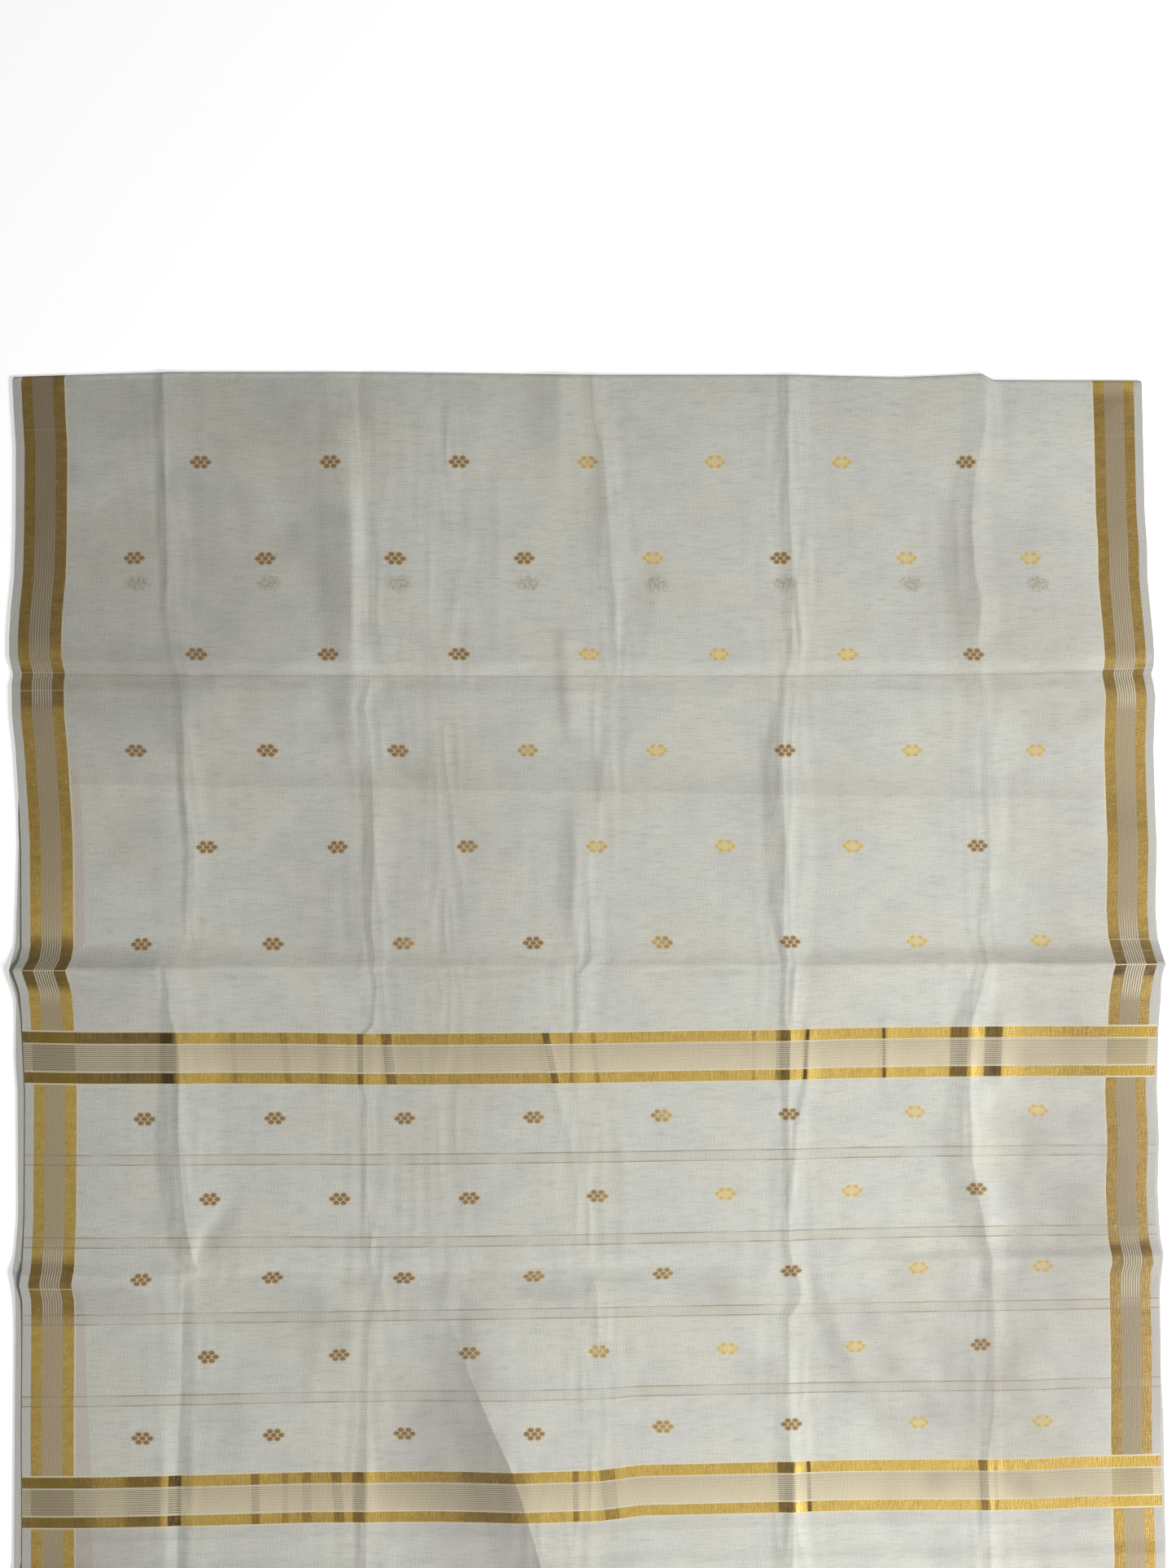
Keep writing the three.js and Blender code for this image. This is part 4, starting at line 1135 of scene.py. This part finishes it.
def buttas(finish, colour, u, v, wobble):
    """Brown dots on tan where the threads look away from the light, and pale gold where they face it."""
    shine_noise = finish.noise(u / SHINE_SWELL, v / SHINE_SWELL, detail=0.0, layer=61) - 0.5
    shine = finish.step(u + shine_noise * SHINE_WANDER, SHINE_FROM, SHINE_WIDTH)
    for start, end in TILTED:
        shine = shine * (1 - finish.between(u, start, end, TILTED_FADE))
    in_pallu = finish.step(v, UPPER_BAND, 2.0)
    row_from = BODY_ROW_FROM + in_pallu * (PALLU_ROW_FROM - BODY_ROW_FROM)
    row_pitch = BODY_ROW_PITCH + in_pallu * (PALLU_ROW_PITCH - BODY_ROW_PITCH)
    dots, whole, rim = butta_masks(finish, u, v, row_from, row_pitch, in_pallu, wobble)
    woven = 1 - finish.between(v, *NO_BUTTAS, 2.0)
    woven = woven * (1 - finish.step(v, BUTTAS_END, 2.0))
    dots, whole = dots * woven, whole * woven
    pale = finish.mix(BUTTA_PALE, BUTTA_RIM, rim * 0.8)
    dot_colour = finish.mix(BUTTA_BROWN, pale, shine)
    colour = finish.mix(colour, finish.mix(BUTTA_TAN, BUTTA_PALE, shine * 0.8), whole * 0.85)
    return finish.mix(colour, dot_colour, dots * 0.92)


saree = saree_finish("ivory_saree_with_zari", True)
plain_saree = saree_finish("ivory_saree_underneath", False)
top_stretch.data.materials.append(saree)
lower_stretches.data.materials.append(plain_saree)
print("materials:", [m.name for m in (saree, plain_saree)])

# %% [markdown]
# ## Telling the frame what stands for what
#
# The top sheet stands for every part of the uppermost stretch, and the zigzag for the block of hidden layers.
# Both are sheets of cloth, and the size each was cut to is worked out.

TOP_NODES = ["body_field", "body_left_border", "body_right_border", "upper_band", "pallu_field",
             "pallu_left_border", "pallu_right_border", "lower_band", "pallu_end_field",
             "pallu_end_left_border", "pallu_end_right_border", "end_hem"]
for piece, nodes in ((top_stretch, TOP_NODES), (lower_stretches, ["folded_layers"])):
    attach(piece, "root")
    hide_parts(*nodes)
top_cut = (LENGTH + TUCK + math.pi * half_height.mean()) * MM
lower_cut = STRETCHES * LENGTH * MM - top_cut

# %% [markdown]
# ## Floor, light and camera
#
# The cloth lies on a plain pale floor. A key light from the lower right, low enough to rake the creases,
# gives each one a dark left face, and a broad pale sky fills the rest. The camera looks straight down from
# well above.

# %% Floor
FLOOR_HALF = 6.0
floor_mesh = bpy.data.meshes.new("floor")
floor_corners = [(x * FLOOR_HALF, y * FLOOR_HALF, 0) for x, y in ((-1, -1), (1, -1), (1, 1), (-1, 1))]
floor_mesh.from_pydata(floor_corners, [], [(0, 1, 2, 3)])
floor = bpy.data.objects.new("floor", floor_mesh)
bpy.context.scene.collection.objects.link(floor)
floor_finish = Finish("pale_floor", Roughness=0.9, Base_Color=(0.93, 0.93, 0.93, 1), Emission_Strength=0.5,
                      Emission_Color=(1, 1, 1, 1))
floor_mesh.materials.append(floor_finish.material)

# %% Lights
KEY_PLACE = (2.6, -1.2, 1.9)
KEY_SIZE = 1.0
KEY_POWER = 130
SKY_STRENGTH = 0.18

world = bpy.data.worlds.new("pale_sky")
world.use_nodes = True
world.node_tree.nodes["Background"].inputs["Color"].default_value = (1, 1, 1, 1)
world.node_tree.nodes["Background"].inputs["Strength"].default_value = SKY_STRENGTH
bpy.context.scene.world = world

key_data = bpy.data.lights.new("key", "AREA")
key_data.energy = KEY_POWER
key_data.size = KEY_SIZE
key = bpy.data.objects.new("key", key_data)
key.location = KEY_PLACE
key.rotation_euler = (Vector((0, 0, 0)) - key.location).to_track_quat("-Z", "Y").to_euler()
bpy.context.scene.collection.objects.link(key)

# %% Camera
VIEW_HEIGHT = 1611
VIEW_MIDDLE = (0.4, 267.4)
CAMERA_DISTANCE = 3300
SENSOR = 36

camera_data = bpy.data.cameras.new("from_above")
camera_data.sensor_width = SENSOR
camera_data.lens = SENSOR * CAMERA_DISTANCE / VIEW_HEIGHT
camera = bpy.data.objects.new("from_above", camera_data)
camera.location = [place * MM for place in (VIEW_MIDDLE[0] + SHIFT[0], VIEW_MIDDLE[1] + SHIFT[1],
                                            CAMERA_DISTANCE + TOP_HEIGHT)]
bpy.context.scene.collection.objects.link(camera)
bpy.context.scene.camera = camera
bpy.context.scene.view_settings.view_transform = "Standard"

# %% Update the scene
bpy.context.view_layer.update()
